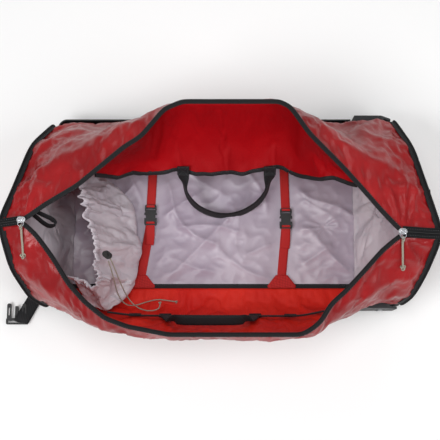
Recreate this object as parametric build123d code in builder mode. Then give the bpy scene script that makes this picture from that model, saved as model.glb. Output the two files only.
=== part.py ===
"""Rolling duffel bag lying on its back panel with the zipped mouth wide open.

Millimetres. +X runs from the trolley handle end (head) to the wheel end, +Y from the near
side to the far side, +Z up out of the mouth. The origin is on the underside of the middle
skid rail, at the centre of the base.
"""

import math
import os

from build123d import *

os.makedirs("parts", exist_ok=True)

# ---------------------------------------------------------------- driving dimensions
base_half_length = 368
base_half_width = 217
base_corner = 20
shell_bottom = 12
shell_wall = 3
rim_top = 58
fabric = 2.5
end_lean = 0.267
end_level = 50
end_inset = 6
side_floor_edge = 168
side_floor_level = 43
side_rim_edge = 210
side_rim_level = 63
housing_top = 96
seam_gap = 0.5

board_bottom = 34
board_thickness = 3
liner_bottom = 38
liner_thickness = 2
liner_top = liner_bottom + liner_thickness
liner_head = -322
liner_wheel = 310
liner_half_width = 165

wheel_radius = 44
wheel_width = 34
wheel_x = 352
wheel_y = 190
wheel_gap = 3
housing_wall = 5
housing_head = 300
housing_end = 386
axle_radius = 3.97
bearing_bore = 4.0
bearing_radius = 11
bearing_width = 7
hub_radius = 30

rail_height = shell_bottom
rail_width = 26
rail_length = 560
rail_y = (-150, 0, 150)
rail_chamfer = 3

foot_size = (48, 70, 12)
foot_x = -base_half_length + 42
foot_y = 150

board_head = -342
board_wheel = 296
board_half_width = 150
board_corner = 12

rib_levels = (28, 44, 60, 76)
rib_height = 6
rib_depth = 1.5

tube_y = 95
tube_level = 25
outer_tube = (26.0, 17.0)
tube_wall = 1.6
tube_clear = 0.3
tube_head = -352
outer_tube_end = 290
mid_tube_end = 70
inner_tube_end = 50
bezel_head = -400
bezel_half_width = 126
bezel_top = 46

# ---------------------------------------------------------------- fabric stations
# The mouth edge and the shoulder that the fabric folds over, as
# (x, shoulder y, shoulder z, lip y, lip z, belly bulge), from the head end to the wheel end.
FAR_STATIONS = [
    (-432, 6, 248, -58, 292, 26),
    (-387, 36, 262, -58, 308, 25),
    (-343, 69, 270, -25, 305, 18),
    (-283, 94, 276, 12, 305, 8),
    (-192, 145, 277, 91, 304, 3),
    (-159, 158, 278, 112, 304, 3),
    (-114, 186, 268, 169, 302, 5),
    (-76, 199, 258, 186, 300, 9),
    (120, 199, 258, 186, 300, 9),
    (144, 190, 264, 173, 302, 5),
    (180, 160, 276, 118, 304, 3),
    (243, 113, 278, 51, 305, 3),
    (285, 82, 276, 2, 305, 5),
    (306, 74, 272, -23, 305, 8),
    (318, 68, 270, -38, 305, 9),
    (355, 48, 262, -80, 308, 13),
    (432, 6, 248, -80, 292, 18),
]
NEAR_STATIONS = [
    (-432, -147, 238, -70, 291, 18),
    (-387, -165, 250, -67, 307, 22),
    (-361, -180, 252, -91, 300, 23),
    (-328, -204, 250, -135, 296, 22),
    (-298, -232, 250, -184, 292, 20),
    (-264, -254, 250, -221, 289, 16),
    (-225, -272, 245, -252, 287, 12),
    (-182, -279, 245, -268, 285, 10),
    (-100, -286, 245, -284, 283, 9),
    (158, -286, 245, -284, 283, 9),
    (178, -280, 245, -274, 284, 11),
    (200, -270, 245, -256, 287, 14),
    (216, -254, 248, -226, 289, 18),
    (245, -238, 250, -201, 291, 20),
    (285, -214, 250, -158, 296, 21),
    (306, -202, 250, -135, 299, 18),
    (318, -195, 250, -121, 301, 15),
    (355, -172, 245, -91, 307, 14),
    (432, -150, 230, -90, 291, 14),
]
end_top_x = 432
wheel_end_from = 312


def lean_at(x):
    """How far a cross-section plane leans outward, per mm of height."""
    return math.copysign(end_lean * abs(x / end_top_x) ** 3, x)


def section_plane(x, top, lean):
    """The leaning plane that passes through x at the height top."""
    return Plane(origin=(x, 0, top), x_dir=(0, 1, 0), z_dir=(1, 0, -lean))


def on_plane(points, top, lean):
    """World (y, z) points as coordinates of the leaning plane."""
    slope = math.hypot(1, lean)
    return [(y, (z - top) * slope) for y, z in points]


def thickened(points, side, thickness):
    """The outline of a sheet: its outer line, and the line moved inward by the thickness."""
    normals = []
    for (y, z), (next_y, next_z) in zip(points, points[1:]):
        length = math.hypot(next_y - y, next_z - z)
        normals.append((-side * (next_z - z) / length, side * (next_y - y) / length))
    inner = []
    for (y, z), (ay, az), (by, bz) in zip(points, normals[:1] + normals, normals + normals[-1:]):
        reach = thickness / (1 + ay * by + az * bz)
        inner.append((y + reach * (ay + by), z + reach * (az + bz)))
    return points + inner[::-1]


def side_profile(station, side):
    """Floor edge, rim, belly, shoulder and lip of one cross-section of a side panel."""
    x, shoulder_y, shoulder_z, lip_y, lip_z, bulge = station
    floor = side_floor_level
    rim = side_rim_level
    if x > wheel_end_from:
        floor = housing_top + 3
        rim = housing_top + 6
    run_y = shoulder_y - side * side_rim_edge
    run_z = shoulder_z - rim
    reach = bulge / math.hypot(run_y, run_z)
    belly_y = side * side_rim_edge + run_y / 2 + side * run_z * reach
    belly_z = rim + run_z / 2 - side * run_y * reach
    return [
        (side * side_floor_edge, floor),
        (side * side_rim_edge, rim),
        (belly_y, belly_z),
        (shoulder_y, shoulder_z),
        (lip_y, lip_z),
    ]


def interpolate(stations, x):
    """Lip y and z at x, on the straight runs between stations."""
    for first, second in zip(stations, stations[1:]):
        if first[0] <= x <= second[0]:
            share = (x - first[0]) / (second[0] - first[0])
            return (
                first[3] + share * (second[3] - first[3]),
                first[4] + share * (second[4] - first[4]),
            )
    raise ValueError(x)


def write(part, label):
    """Label a finished piece and write its STEP file."""
    part.label = label
    export_step(part, "parts/" + label + ".step")


# ---------------------------------------------------------------- outer fabric
def build_side_panel(stations, side, label):
    with BuildPart() as panel:
        for station in stations:
            x, top = station[0], station[4]
            lean = lean_at(x)
            if abs(x) == end_top_x:
                x -= math.copysign(end_inset, x)
            plane = section_plane(x, top, lean)
            outline = thickened(side_profile(station, side), side, fabric)
            with BuildSketch(plane):
                Polygon(*on_plane(outline, top, lean), align=None)
        loft(ruled=True)
    write(panel.part, label)


build_side_panel(FAR_STATIONS, 1, "side_panel_far")
build_side_panel(NEAR_STATIONS, -1, "side_panel_near")


def end_outline(end):
    """The (y, z) outline of an end panel, from the far side's stations to the near side's."""
    index = 0 if end < 0 else -1
    far = side_profile(FAR_STATIONS[index], 1)[1:]
    near = side_profile(NEAR_STATIONS[index], -1)[1:]
    return far + near[::-1]


def end_plane(end, outward):
    """Plane of an end panel, moved outward along X."""
    lean = end * end_lean
    x = end * (base_half_length + outward)
    return Plane(origin=(x, 0, end_level), x_dir=(0, 1, 0), z_dir=(1, 0, -lean)), lean


piping = 6
for end, name in ((-1, "head"), (1, "wheel")):
    plane, lean = end_plane(end, 0)
    with BuildPart() as end_panel:
        with BuildSketch(plane):
            Polygon(*on_plane(end_outline(end), end_level, lean), align=None)
        extrude(amount=-end * fabric)
    write(end_panel.part, "end_panel_" + name)

    plane, lean = end_plane(end, seam_gap)
    with BuildPart() as end_piping:
        with BuildSketch(plane):
            Polygon(*on_plane(end_outline(end), end_level, lean), align=None)
            offset(amount=-piping, mode=Mode.SUBTRACT)
        extrude(amount=end * piping)
    write(end_piping.part, "end_piping_" + name)

# ---------------------------------------------------------------- moulded base
with BuildPart() as base_shell:
    with BuildSketch(Plane.XY.offset(shell_bottom)):
        RectangleRounded(2 * base_half_length, 2 * base_half_width, base_corner)
    extrude(amount=rim_top - shell_bottom)
    with BuildSketch(Plane.XY.offset(shell_bottom + shell_wall)):
        RectangleRounded(
            2 * (base_half_length - shell_wall),
            2 * (base_half_width - shell_wall),
            base_corner - shell_wall,
        )
    extrude(amount=rim_top, mode=Mode.SUBTRACT)
    well_inner = wheel_y - wheel_width / 2 - wheel_gap - housing_wall - seam_gap
    well_length = base_half_length - housing_head + 2 * seam_gap
    well_width = 80
    for side in (-1, 1):
        with BuildSketch(Plane.XY.offset(shell_bottom)):
            well_x = base_half_length - well_length / 2 + seam_gap
            with Locations((well_x, side * (well_inner + well_width / 2))):
                Rectangle(well_length + 4, well_width)
        extrude(amount=rim_top, mode=Mode.SUBTRACT)
    with BuildSketch(Plane.XY.offset(shell_bottom)):
        with Locations((-base_half_length, 0)):
            Rectangle(2 * (base_half_length + tube_head) + 2 * seam_gap, 2 * bezel_half_width + 1)
    extrude(amount=rim_top, mode=Mode.SUBTRACT)
write(base_shell.part, "base_shell")

with BuildPart() as skid_rails:
    with BuildSketch(Plane.XY.offset(0)):
        with Locations(*[(0, y) for y in rail_y]):
            SlotOverall(rail_length, rail_width)
    extrude(amount=rail_height)
    chamfer(skid_rails.faces().sort_by(Axis.Z)[0].edges(), rail_chamfer)
write(skid_rails.part, "skid_rails")

with BuildPart() as head_feet:
    with BuildSketch(Plane.XY.offset(0)):
        with Locations((foot_x, -foot_y), (foot_x, foot_y)):
            RectangleRounded(*foot_size)
    extrude(amount=shell_bottom)
    fillet(head_feet.edges().filter_by(Axis.Z, reverse=True).group_by(Axis.Z)[0], 2.5)
write(head_feet.part, "head_feet")

with BuildPart() as base_board:
    with BuildSketch(Plane.XY.offset(board_bottom)):
        with Locations(((board_head + board_wheel) / 2, 0)):
            RectangleRounded(board_wheel - board_head, 2 * board_half_width, board_corner)
    extrude(amount=board_thickness)
write(base_board.part, "base_board")

with BuildPart() as floor_liner:
    with BuildSketch(Plane.XY.offset(liner_bottom)):
        with Locations(((liner_head + liner_wheel) / 2, 0)):
            Rectangle(liner_wheel - liner_head, 2 * liner_half_width)
    extrude(amount=liner_thickness)
write(floor_liner.part, "floor_liner")

with BuildPart() as kick_plate:
    with BuildSketch(Plane.YZ.offset(base_half_length + seam_gap)):
        with Locations((0, (shell_bottom + housing_top) / 2 + 1)):
            RectangleRounded(2 * well_inner - 2, housing_top - shell_bottom, 10)
    extrude(amount=shell_wall)
    with BuildSketch(Plane.YZ.offset(base_half_length + seam_gap + shell_wall)):
        with Locations(*[(0, z) for z in rib_levels]):
            SlotOverall(2 * well_inner - 40, rib_height)
    extrude(amount=rib_depth)
write(kick_plate.part, "kick_plate")

# ---------------------------------------------------------------- wheels
cavity_half = wheel_width / 2 + wheel_gap
housing_half = cavity_half + housing_wall
for side, name in ((-1, "near"), (1, "far")):
    centre = side * wheel_y
    with BuildPart() as housing:
        with BuildSketch(Plane.XZ.offset(-centre)):
            with BuildLine():
                Polyline(
                    (housing_head, shell_bottom + 2),
                    (housing_end, shell_bottom + 2),
                    (housing_end, 70),
                    (housing_end - 26, housing_top),
                    (housing_head, housing_top),
                    close=True,
                )
            make_face()
        extrude(amount=housing_half, both=True)
        with BuildSketch(Plane.XZ.offset(-centre)):
            with Locations((wheel_x, wheel_radius)):
                Circle(wheel_radius + wheel_gap)
            with Locations((wheel_x + 30, wheel_radius - 20)):
                Rectangle(60, 50)
            with Locations((wheel_x, 15)):
                Rectangle(2 * (wheel_radius + wheel_gap), 58)
        extrude(amount=cavity_half, both=True, mode=Mode.SUBTRACT)
        with BuildSketch(Plane.XZ.offset(-centre)):
            with Locations((wheel_x, wheel_radius)):
                Circle(axle_radius + 0.05)
        extrude(amount=housing_half, both=True, mode=Mode.SUBTRACT)
    write(housing.part, "wheel_housing_" + name)

    with BuildPart() as tyre:
        with BuildSketch(Plane.XZ.offset(-centre)):
            with Locations((wheel_x, wheel_radius)):
                Circle(wheel_radius)
                Circle(hub_radius, mode=Mode.SUBTRACT)
        extrude(amount=wheel_width / 2, both=True)
        fillet(tyre.edges().filter_by(GeomType.CIRCLE).group_by(SortBy.RADIUS)[-1], 5)
    write(tyre.part, "wheel_tyre_" + name)

    with BuildPart() as hub:
        with BuildSketch(Plane.XZ.offset(-centre)):
            with Locations((wheel_x, wheel_radius)):
                Circle(hub_radius)
                Circle(bearing_radius - 2, mode=Mode.SUBTRACT)
        extrude(amount=wheel_width / 2 - 1, both=True)
        for face_y in (centre - wheel_width / 2, centre + wheel_width / 2 - bearing_width - 1):
            with BuildSketch(Plane.XZ.offset(-face_y - bearing_width - 1)):
                with Locations((wheel_x, wheel_radius)):
                    Circle(bearing_radius)
            extrude(amount=bearing_width + 1, mode=Mode.SUBTRACT)
        with BuildSketch(Plane.XZ.offset(-centre)):
            with Locations((wheel_x, wheel_radius)):
                with PolarLocations((bearing_radius + hub_radius) / 2, 5):
                    Circle(5)
        extrude(amount=wheel_width, both=True, mode=Mode.SUBTRACT)
    write(hub.part, "wheel_hub_" + name)

    with BuildPart() as bearings:
        for face_y in (centre - wheel_width / 2 + 1, centre + wheel_width / 2 - bearing_width - 1):
            with BuildSketch(Plane.XZ.offset(-face_y - bearing_width)):
                with Locations((wheel_x, wheel_radius)):
                    Circle(bearing_radius)
                    Circle(bearing_bore, mode=Mode.SUBTRACT)
            extrude(amount=bearing_width)
    write(bearings.part, "wheel_bearings_" + name)

    with BuildPart() as axle:
        with BuildSketch(Plane.XZ.offset(-centre)):
            with Locations((wheel_x, wheel_radius)):
                Circle(axle_radius)
        extrude(amount=housing_half + 3, both=True)
        for start in (-housing_half - 3, housing_half):
            with BuildSketch(Plane.XZ.offset(-centre + start)):
                with Locations((wheel_x, wheel_radius)):
                    RegularPolygon(7, 6)
            extrude(amount=3)
    write(axle.part, "wheel_axle_" + name)

# ---------------------------------------------------------------- trolley handle
def tube_pair(width, height, wall, start, end, label):
    """Two parallel rectangular tubes along X."""
    with BuildPart() as tubes:
        with BuildSketch(Plane.YZ.offset(start)):
            with Locations((-tube_y, tube_level), (tube_y, tube_level)):
                RectangleRounded(width, height, 2.5)
            with Locations((-tube_y, tube_level), (tube_y, tube_level)):
                RectangleRounded(width - 2 * wall, height - 2 * wall, 1.5, mode=Mode.SUBTRACT)
        extrude(amount=end - start)
    write(tubes.part, label)


mid_tube = tuple(size - 2 * tube_wall - 2 * tube_clear for size in outer_tube)
inner_tube = tuple(size - 2 * tube_wall - 2 * tube_clear for size in mid_tube)
tube_pair(*outer_tube, tube_wall, tube_head, outer_tube_end, "trolley_outer_tubes")
tube_pair(*mid_tube, tube_wall, tube_head, mid_tube_end, "trolley_mid_tubes")
tube_pair(*inner_tube, tube_wall, tube_head, inner_tube_end, "trolley_inner_tubes")

with BuildPart() as end_bracket:
    with BuildSketch(Plane.YZ.offset(outer_tube_end)):
        with Locations((0, tube_level)):
            RectangleRounded(2 * tube_y + 40, outer_tube[1], 3)
    extrude(amount=6)
write(end_bracket.part, "trolley_end_bracket")

grip_half_width = 112
grip_bar = 18
grip_head = bezel_head + 2
with BuildPart() as bezel:
    with BuildSketch(Plane.XY.offset(shell_bottom)):
        with Locations(((bezel_head + tube_head) / 2, 0)):
            Rectangle(tube_head - bezel_head, 2 * bezel_half_width)
    extrude(amount=bezel_top - shell_bottom)
    with BuildSketch(Plane.YZ.offset(bezel_head)):
        with Locations((0, (shell_bottom + bezel_top) / 2)):
            RectangleRounded(2 * bezel_half_width - 8, bezel_top - shell_bottom - 6, 6)
    extrude(amount=tube_head - bezel_head - 3, mode=Mode.SUBTRACT)
    with BuildSketch(Plane.YZ.offset(bezel_head)):
        with Locations((-tube_y, tube_level), (tube_y, tube_level)):
            Rectangle(outer_tube[0] + 1, outer_tube[1] + 1)
    extrude(amount=tube_head - bezel_head, mode=Mode.SUBTRACT)
write(bezel.part, "trolley_bezel")

button_length = 34
button_height = 10
button_depth = 6
with BuildPart() as grip:
    with BuildSketch(Plane.YZ.offset(grip_head)):
        with Locations((0, tube_level + 2)):
            RectangleRounded(2 * grip_half_width, 22, 8)
    extrude(amount=grip_bar)
    with BuildSketch(Plane.YZ.offset(grip_head + grip_bar)):
        with Locations((-tube_y, tube_level), (tube_y, tube_level)):
            RectangleRounded(inner_tube[0], inner_tube[1], 2)
    extrude(amount=tube_head - grip_head - grip_bar)
    with BuildSketch(Plane.YZ.offset(grip_head)):
        with Locations((0, tube_level + 2)):
            RectangleRounded(button_length + 0.8, button_height + 0.8, 4)
    extrude(amount=button_depth + 5, mode=Mode.SUBTRACT)
write(grip.part, "trolley_grip")

with BuildPart() as grip_button:
    with BuildSketch(Plane.YZ.offset(grip_head - 1)):
        with Locations((0, tube_level + 2)):
            RectangleRounded(button_length, button_height, 3.6)
    extrude(amount=button_depth)
write(grip_button.part, "trolley_button")

# ---------------------------------------------------------------- zip
tape_width = 9
tape_thickness = 2


def build_tape(stations, side, stops, label):
    """A zip tape on the mouth's edge, just inside the lip."""
    with BuildPart() as tape:
        for x in stops:
            lip_y, lip_z = interpolate(stations, x)
            lean = lean_at(x)
            plane = section_plane(x, lip_z, lean)
            outer = lip_y - side * seam_gap
            outline = [
                (outer, lip_z),
                (outer - side * tape_width, lip_z),
                (outer - side * tape_width, lip_z + tape_thickness),
                (outer, lip_z + tape_thickness),
            ]
            with BuildSketch(plane):
                Polygon(*on_plane(outline, lip_z, lean), align=None)
        loft(ruled=True)
    write(tape.part, label)


tape_from = -366
tape_to = 330
far_stops = [s[0] for s in FAR_STATIONS if tape_from < s[0] < tape_to]
near_stops = [s[0] for s in NEAR_STATIONS if tape_from < s[0] < tape_to]
build_tape(FAR_STATIONS, 1, [tape_from, *far_stops, tape_to], "zip_tape_far")
build_tape(NEAR_STATIONS, -1, [tape_from, *near_stops, tape_to], "zip_tape_near")

slider_x = (-387, 355)
slider_y = (-60, -83)
slider_z = 311
zip_width = 22
with BuildPart() as closed_zip_ends:
    for end, x, y in ((-1, slider_x[0], slider_y[0]), (1, slider_x[1], slider_y[1])):
        outer_x = end * (end_top_x - 8)
        middle = (x + end * 12 + outer_x) / 2
        length = abs(outer_x - x) - 12
        drop = math.degrees(math.atan2(16, abs(outer_x - x)))
        zip_plane = Plane(origin=(middle, y, 307), x_dir=(1, 0, 0), z_dir=(0, 0, 1))
        zip_plane = zip_plane.rotated((0, end * drop, 0))
        with BuildSketch(zip_plane):
            Rectangle(length, zip_width)
        extrude(amount=tape_thickness)
write(closed_zip_ends.part, "closed_zip_ends")

with BuildPart() as sliders:
    for end, x, y in ((-1, slider_x[0], slider_y[0]), (1, slider_x[1], slider_y[1])):
        with BuildSketch(Plane.XY.offset(slider_z)):
            with Locations((x, y)):
                SlotOverall(17, 12)
        extrude(amount=2.4)
        with BuildSketch(Plane.XZ.offset(-y)):
            with Locations((x, slider_z + 2.4)):
                RectangleRounded(11.4, 8, 3)
                RectangleRounded(8.4, 5, 1, mode=Mode.SUBTRACT)
            with Locations((x, slider_z - 2)):
                Rectangle(14, 8, mode=Mode.SUBTRACT)
        extrude(amount=1.3, both=True)
write(sliders.part, "zip_sliders")

ring_outer = 6.5
ring_wire = 1.3
ring_lift = 2.9
for x, y, name in ((slider_x[0], slider_y[0], "head"), (slider_x[1], slider_y[1], "wheel")):
    ring_centre = y - 7.5
    with BuildPart() as puller:
        with BuildSketch(Plane.XY.offset(slider_z + ring_lift)):
            with Locations((x, ring_centre)):
                Circle(ring_outer)
                Circle(ring_outer - ring_wire, mode=Mode.SUBTRACT)
        extrude(amount=ring_wire)
    write(puller.part, "zip_puller_" + name)

# ---------------------------------------------------------------- cords
pull_cord_diameter = 4.5
draw_cord_diameter = 2.6
pull_cord_routes = {
    "pull_cord_head": [
        (-386.5, -75, 310.5),
        (-387, -93, 301.5),
        (-386.5, -110, 290.5),
        (-387.5, -127, 281.5),
    ],
    "pull_cord_wheel": [
        (354.5, -98, 310.5),
        (355.5, -112, 301.5),
        (357.5, -126, 291.5),
        (359, -138.5, 281),
        (361, -149, 271.5),
    ],
}
draw_cord_routes = {
    "draw_cord_long": [
        (-226, -121, 196),
        (-219, -139, 176),
        (-212, -160, 152),
        (-204, -181, 127),
        (-194, -200, 104),
        (-178, -214, 92),
        (-160, -221, 97),
        (-142, -221, 99),
        (-129, -214, 88),
        (-131, -202, 74),
    ],
    "draw_cord_short": [
        (-230, -126, 196),
        (-225, -146, 170),
        (-222, -168, 141),
        (-218, -189, 115),
        (-206, -207, 94),
        (-187, -209, 75),
        (-163, -200, 66),
        (-138, -193, 62),
        (-115, -196, 63),
        (-96, -199, 64),
    ],
}


def cord_radii(route):
    """Arc radius at each corner: 0.45 of the shorter run over the tangent of half the turn."""
    points = [Vector(*point) for point in route]
    radii = []
    for before, corner, after in zip(points, points[1:], points[2:]):
        first, second = corner - before, after - corner
        half_turn = math.radians(first.get_angle(second)) / 2
        radii.append(0.45 * min(first.length, second.length) / math.tan(half_turn))
    return radii


def build_cord(route, diameter, knot, label):
    """A cord's tube with a round knot at its far end."""
    radii = cord_radii(route)
    with BuildPart() as cord:
        with BuildLine():
            path = FilletPolyline(*route, radius=radii)
        with BuildSketch(Plane(origin=path @ 0, z_dir=path % 0)):
            Circle(diameter / 2)
        sweep()
        tube_volume = cord.part.volume
        expected = path.length * math.pi * diameter**2 / 4
        with Locations(path @ 1):
            Sphere(knot)
    print(label, "length", round(path.length, 1), "radii", [round(r, 1) for r in radii])
    print(label, "volume over section times length", round(tube_volume / expected, 4))
    write(cord.part, label)


for label, route in pull_cord_routes.items():
    build_cord(route, pull_cord_diameter, 5, label)
for label, route in draw_cord_routes.items():
    build_cord(route, draw_cord_diameter, 2.6, label)

# ---------------------------------------------------------------- inner linings
end_lining_outlines = {
    "head": [
        (160, 44),
        (182, 74),
        (108, 120),
        (50, 190),
        (-6, 244),
        (-50, 280),
        (-84, 272),
        (-132, 228),
        (-166, 170),
        (-182, 100),
        (-176, 70),
        (-160, 44),
    ],
    "wheel": [
        (156, 44),
        (156, 103),
        (112, 124),
        (40, 194),
        (-14, 240),
        (-62, 278),
        (-92, 272),
        (-130, 226),
        (-160, 172),
        (-172, 112),
        (-156, 103),
        (-156, 44),
    ],
}
lining_lean = 0.42
lining_foot = 44
lining_half_thickness = 1.5
for end, start, name in ((-1, liner_head - 2, "head"), (1, liner_wheel + 2, "wheel")):
    plane = Plane(
        origin=(start, 0, lining_foot),
        x_dir=(0, 1, 0),
        z_dir=(1, 0, -end * lining_lean),
    )
    with BuildPart() as end_lining:
        with BuildSketch(plane):
            outline = on_plane(end_lining_outlines[name], lining_foot, lining_lean)
            Polygon(*outline, align=None)
        extrude(amount=lining_half_thickness, both=True)
    write(end_lining.part, "end_lining_" + name)

flap_stations = [
    (-250, 42, 270),
    (-220, 50, 200),
    (-200, 61, 168),
    (-112, 74, 152),
    (0, 68, 150),
    (45, 68, 150),
    (75, 77, 150),
    (120, 82, 150),
    (144, 80, 150),
    (167, 65, 165),
    (190, 48, 195),
    (213, 39, 230),
    (250, 28, 262),
]
flap_drop = 12
flap_inset = 14
flap_thickness = 2
binding_thickness = 3.5
binding_from = 0.945


def build_flap(from_share, to_share, thickness, label):
    """The hanging far flap between two shares of its depth, as one lofted sheet."""
    with BuildPart() as flap:
        for x, edge_y, edge_z in flap_stations:
            lip_y, lip_z = interpolate(FAR_STATIONS, x)
            top = Vector(lip_y - flap_inset, lip_z - flap_drop)
            edge = Vector(edge_y, edge_z)
            depth = edge - top
            across = Vector(-depth.Y, depth.X).normalized() * thickness / 2
            low = top + depth * from_share
            high = top + depth * to_share
            corners = [low - across, high - across, high + across, low + across]
            with BuildSketch(Plane.YZ.offset(x)):
                Polygon(*[(corner.X, corner.Y) for corner in corners], align=None)
        loft(ruled=True)
    write(flap.part, label)


build_flap(0, binding_from - 0.005, flap_thickness, "far_flap")
build_flap(binding_from, 1.0, binding_thickness, "far_flap_binding")

with BuildPart() as seam_tape:
    for x, y, z in ((-225, -226, 106), (-182, -228.2, 106), (170, -228.8, 106), (216, -221, 106)):
        with BuildSketch(Plane.YZ.offset(x)):
            Polygon((y, z), (y - 4, z + 8), (y - 2.2, z + 8.5), (y + 1.7, z + 0.5), align=None)
    loft(ruled=True)
write(seam_tape.part, "near_seam_tape")

# ---------------------------------------------------------------- compression straps
strap_width = 20
strap_thickness = 1.6
strap_bottom = 41
strap_x = (-156, 148)
strap_ends = ((-152, 112, -176, -142), (151, 112, 137, -142))
buckle_y = (4, -4)
buckle_width = 28
socket_length = 30
plug_reach = 16
plug_body = 16
buckle_base = strap_bottom + strap_thickness + 0.8
buckle_height = 8

with BuildPart() as upper_straps:
    for x, y, (far_x, far_y, _, _) in zip(strap_x, buckle_y, strap_ends):
        with BuildSketch(Plane.XY.offset(strap_bottom)):
            Polygon(
                (x - strap_width / 2, y + 1),
                (x + strap_width / 2, y + 1),
                (far_x + strap_width / 2, far_y),
                (far_x - strap_width / 2, far_y),
                align=None,
            )
        extrude(amount=strap_thickness)
write(upper_straps.part, "compression_straps_upper")

with BuildPart() as lower_straps:
    for x, y, (_, _, near_x, near_y) in zip(strap_x, buckle_y, strap_ends):
        with BuildSketch(Plane.XY.offset(strap_bottom)):
            Polygon(
                (near_x - strap_width / 2, near_y),
                (near_x + strap_width / 2, near_y),
                (x + strap_width / 2, y - 1),
                (x - strap_width / 2, y - 1),
                align=None,
            )
        extrude(amount=strap_thickness)
write(lower_straps.part, "compression_straps_lower")

patch_gap = 1
patch_depth = 20
patch_half_top = 14
patch_half_foot = 34
with BuildPart() as anchor_patches:
    for (_, _, near_x, near_y) in strap_ends:
        with BuildSketch(Plane.XY.offset(strap_bottom)):
            Polygon(
                (near_x - patch_half_top, near_y - patch_gap),
                (near_x + patch_half_top, near_y - patch_gap),
                (near_x + patch_half_foot, near_y - patch_gap - patch_depth),
                (near_x - patch_half_foot, near_y - patch_gap - patch_depth),
                align=None,
            )
        extrude(amount=strap_thickness)
write(anchor_patches.part, "strap_anchor_patches")

with BuildPart() as sockets:
    for x, y in zip(strap_x, buckle_y):
        with BuildSketch(Plane.XY.offset(buckle_base)):
            with Locations((x, y - socket_length / 2)):
                RectangleRounded(buckle_width, socket_length, 4)
        extrude(amount=buckle_height)
        with BuildSketch(Plane.XZ.offset(-y)):
            with Locations((x, buckle_base + buckle_height / 2)):
                Rectangle(buckle_width - 6, buckle_height - 3)
        extrude(amount=plug_reach + 3, mode=Mode.SUBTRACT)
        with BuildSketch(Plane.XY.offset(buckle_base)):
            with Locations((x - buckle_width / 2, y - 10), (x + buckle_width / 2, y - 10)):
                Rectangle(7, 8)
            with Locations((x, y - socket_length + 5)):
                Rectangle(strap_width + 1, 4)
        extrude(amount=buckle_height, mode=Mode.SUBTRACT)
write(sockets.part, "strap_buckle_sockets")

for x, y, name in zip(strap_x, buckle_y, ("left", "right")):
    with BuildPart() as plug:
        with BuildSketch(Plane.XY.offset(buckle_base + 2)):
            with Locations((x, y + 0.4 + plug_body / 2)):
                RectangleRounded(buckle_width - 2, plug_body, 3)
            with Locations((x, y + plug_body - 3), (x, y + plug_body - 9)):
                Rectangle(strap_width, 2.5, mode=Mode.SUBTRACT)
            for prong_x in (x - 8, x, x + 8):
                with Locations((prong_x, y + 0.4 - plug_reach / 2 + 1)):
                    Rectangle(3.5, plug_reach + 1)
        extrude(amount=buckle_height - 4)
    write(plug.part, "strap_buckle_plug_" + name)

# ---------------------------------------------------------------- carry handles
webbing = 25
webbing_thickness = 3
handle_far_hinge = (14, 72, 146)
handle_far_depth = 118
handle_far_half = 93
handle_far_start = 14
drop_direction = Vector(0, -81, -94).normalized()
with BuildPart() as handle_far:
    plane = Plane(
        origin=handle_far_hinge,
        x_dir=(1, 0, 0),
        z_dir=Vector(1, 0, 0).cross(drop_direction),
    )
    with BuildSketch(plane):
        with BuildLine():
            Polyline((handle_far_half, handle_far_start), (handle_far_half, 34))
            ThreePointArc((handle_far_half, 34), (0, handle_far_depth), (-handle_far_half, 34))
            Polyline(
                (-handle_far_half, 34),
                (-handle_far_half, handle_far_start),
                (handle_far_half, handle_far_start),
            )
        make_face()
        with BuildLine():
            inside = handle_far_half - webbing_thickness
            Polyline((inside, handle_far_start), (inside, 34))
            ThreePointArc((inside, 34), (0, handle_far_depth - webbing_thickness), (-inside, 34))
            Polyline((-inside, 34), (-inside, handle_far_start), (inside, handle_far_start))
        make_face(mode=Mode.SUBTRACT)
    extrude(amount=webbing / 2, both=True)
write(handle_far.part, "handle_far")

wall_rise = Vector(0, -0.372, 0.928)
handle_near_hinge = (-21, -237, 124)
near_grip_width = 21
with BuildPart() as handle_near:
    plane = Plane(
        origin=handle_near_hinge,
        x_dir=(1, 0, 0),
        z_dir=Vector(1, 0, 0).cross(wall_rise),
    )
    with BuildSketch(plane):
        Polygon((-104, 0), (104, 0), (72, 62), (-72, 62), align=None)
        Polygon((-84, 0), (84, 0), (61, 44), (-61, 44), align=None, mode=Mode.SUBTRACT)
    extrude(amount=-webbing_thickness)
    with BuildSketch(plane):
        Polygon((-66, 56), (66, 56), (65, 59), (-65, 59), align=None)
    extrude(amount=-near_grip_width)
write(handle_near.part, "handle_near")

grab_base = (38, 3)
grab_strap = (34, 11)
grab_gap_depth = 8
# end, y, lowest z and highest z of each grab handle
grab_places = ((-1, -122, 118, 222), (1, 0, 122, 226))
with BuildPart() as end_grab_handles:
    for end, handle_y, bottom, top in grab_places:
        plane, lean = end_plane(end, 2)
        slope = math.hypot(1, lean)
        low = (bottom - end_level) * slope
        high = (top - end_level) * slope
        with BuildSketch(plane):
            with Locations((handle_y, (low + high) / 2)):
                Rectangle(grab_base[0], high - low)
        extrude(amount=end * grab_base[1])
        strap_plane = plane.offset(end * grab_base[1])
        with BuildSketch(strap_plane):
            with Locations((handle_y, (low + high) / 2)):
                Rectangle(grab_strap[0], high - low)
        extrude(amount=end * grab_strap[1])
        with BuildSketch(strap_plane):
            with Locations((handle_y, (low + high) / 2)):
                Rectangle(grab_strap[0], high - low - grab_strap[0])
        extrude(amount=end * grab_gap_depth, mode=Mode.SUBTRACT)
write(end_grab_handles.part, "end_grab_handles")

# ---------------------------------------------------------------- side strap and its buckle
side_strap_level = 2.5
side_strap_thickness = 2
side_strap_outline = [
    (-386, -126),
    (-386, -160),
    (-407, -192),
    (-438, -238),
    (-475, -238),
    (-475, -231),
    (-444, -184),
    (-404, -126),
]
with BuildPart() as side_strap:
    with BuildSketch(Plane.XY.offset(side_strap_level)):
        Polygon(*side_strap_outline, align=None)
    extrude(amount=side_strap_thickness)
write(side_strap.part, "side_strap")

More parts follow.
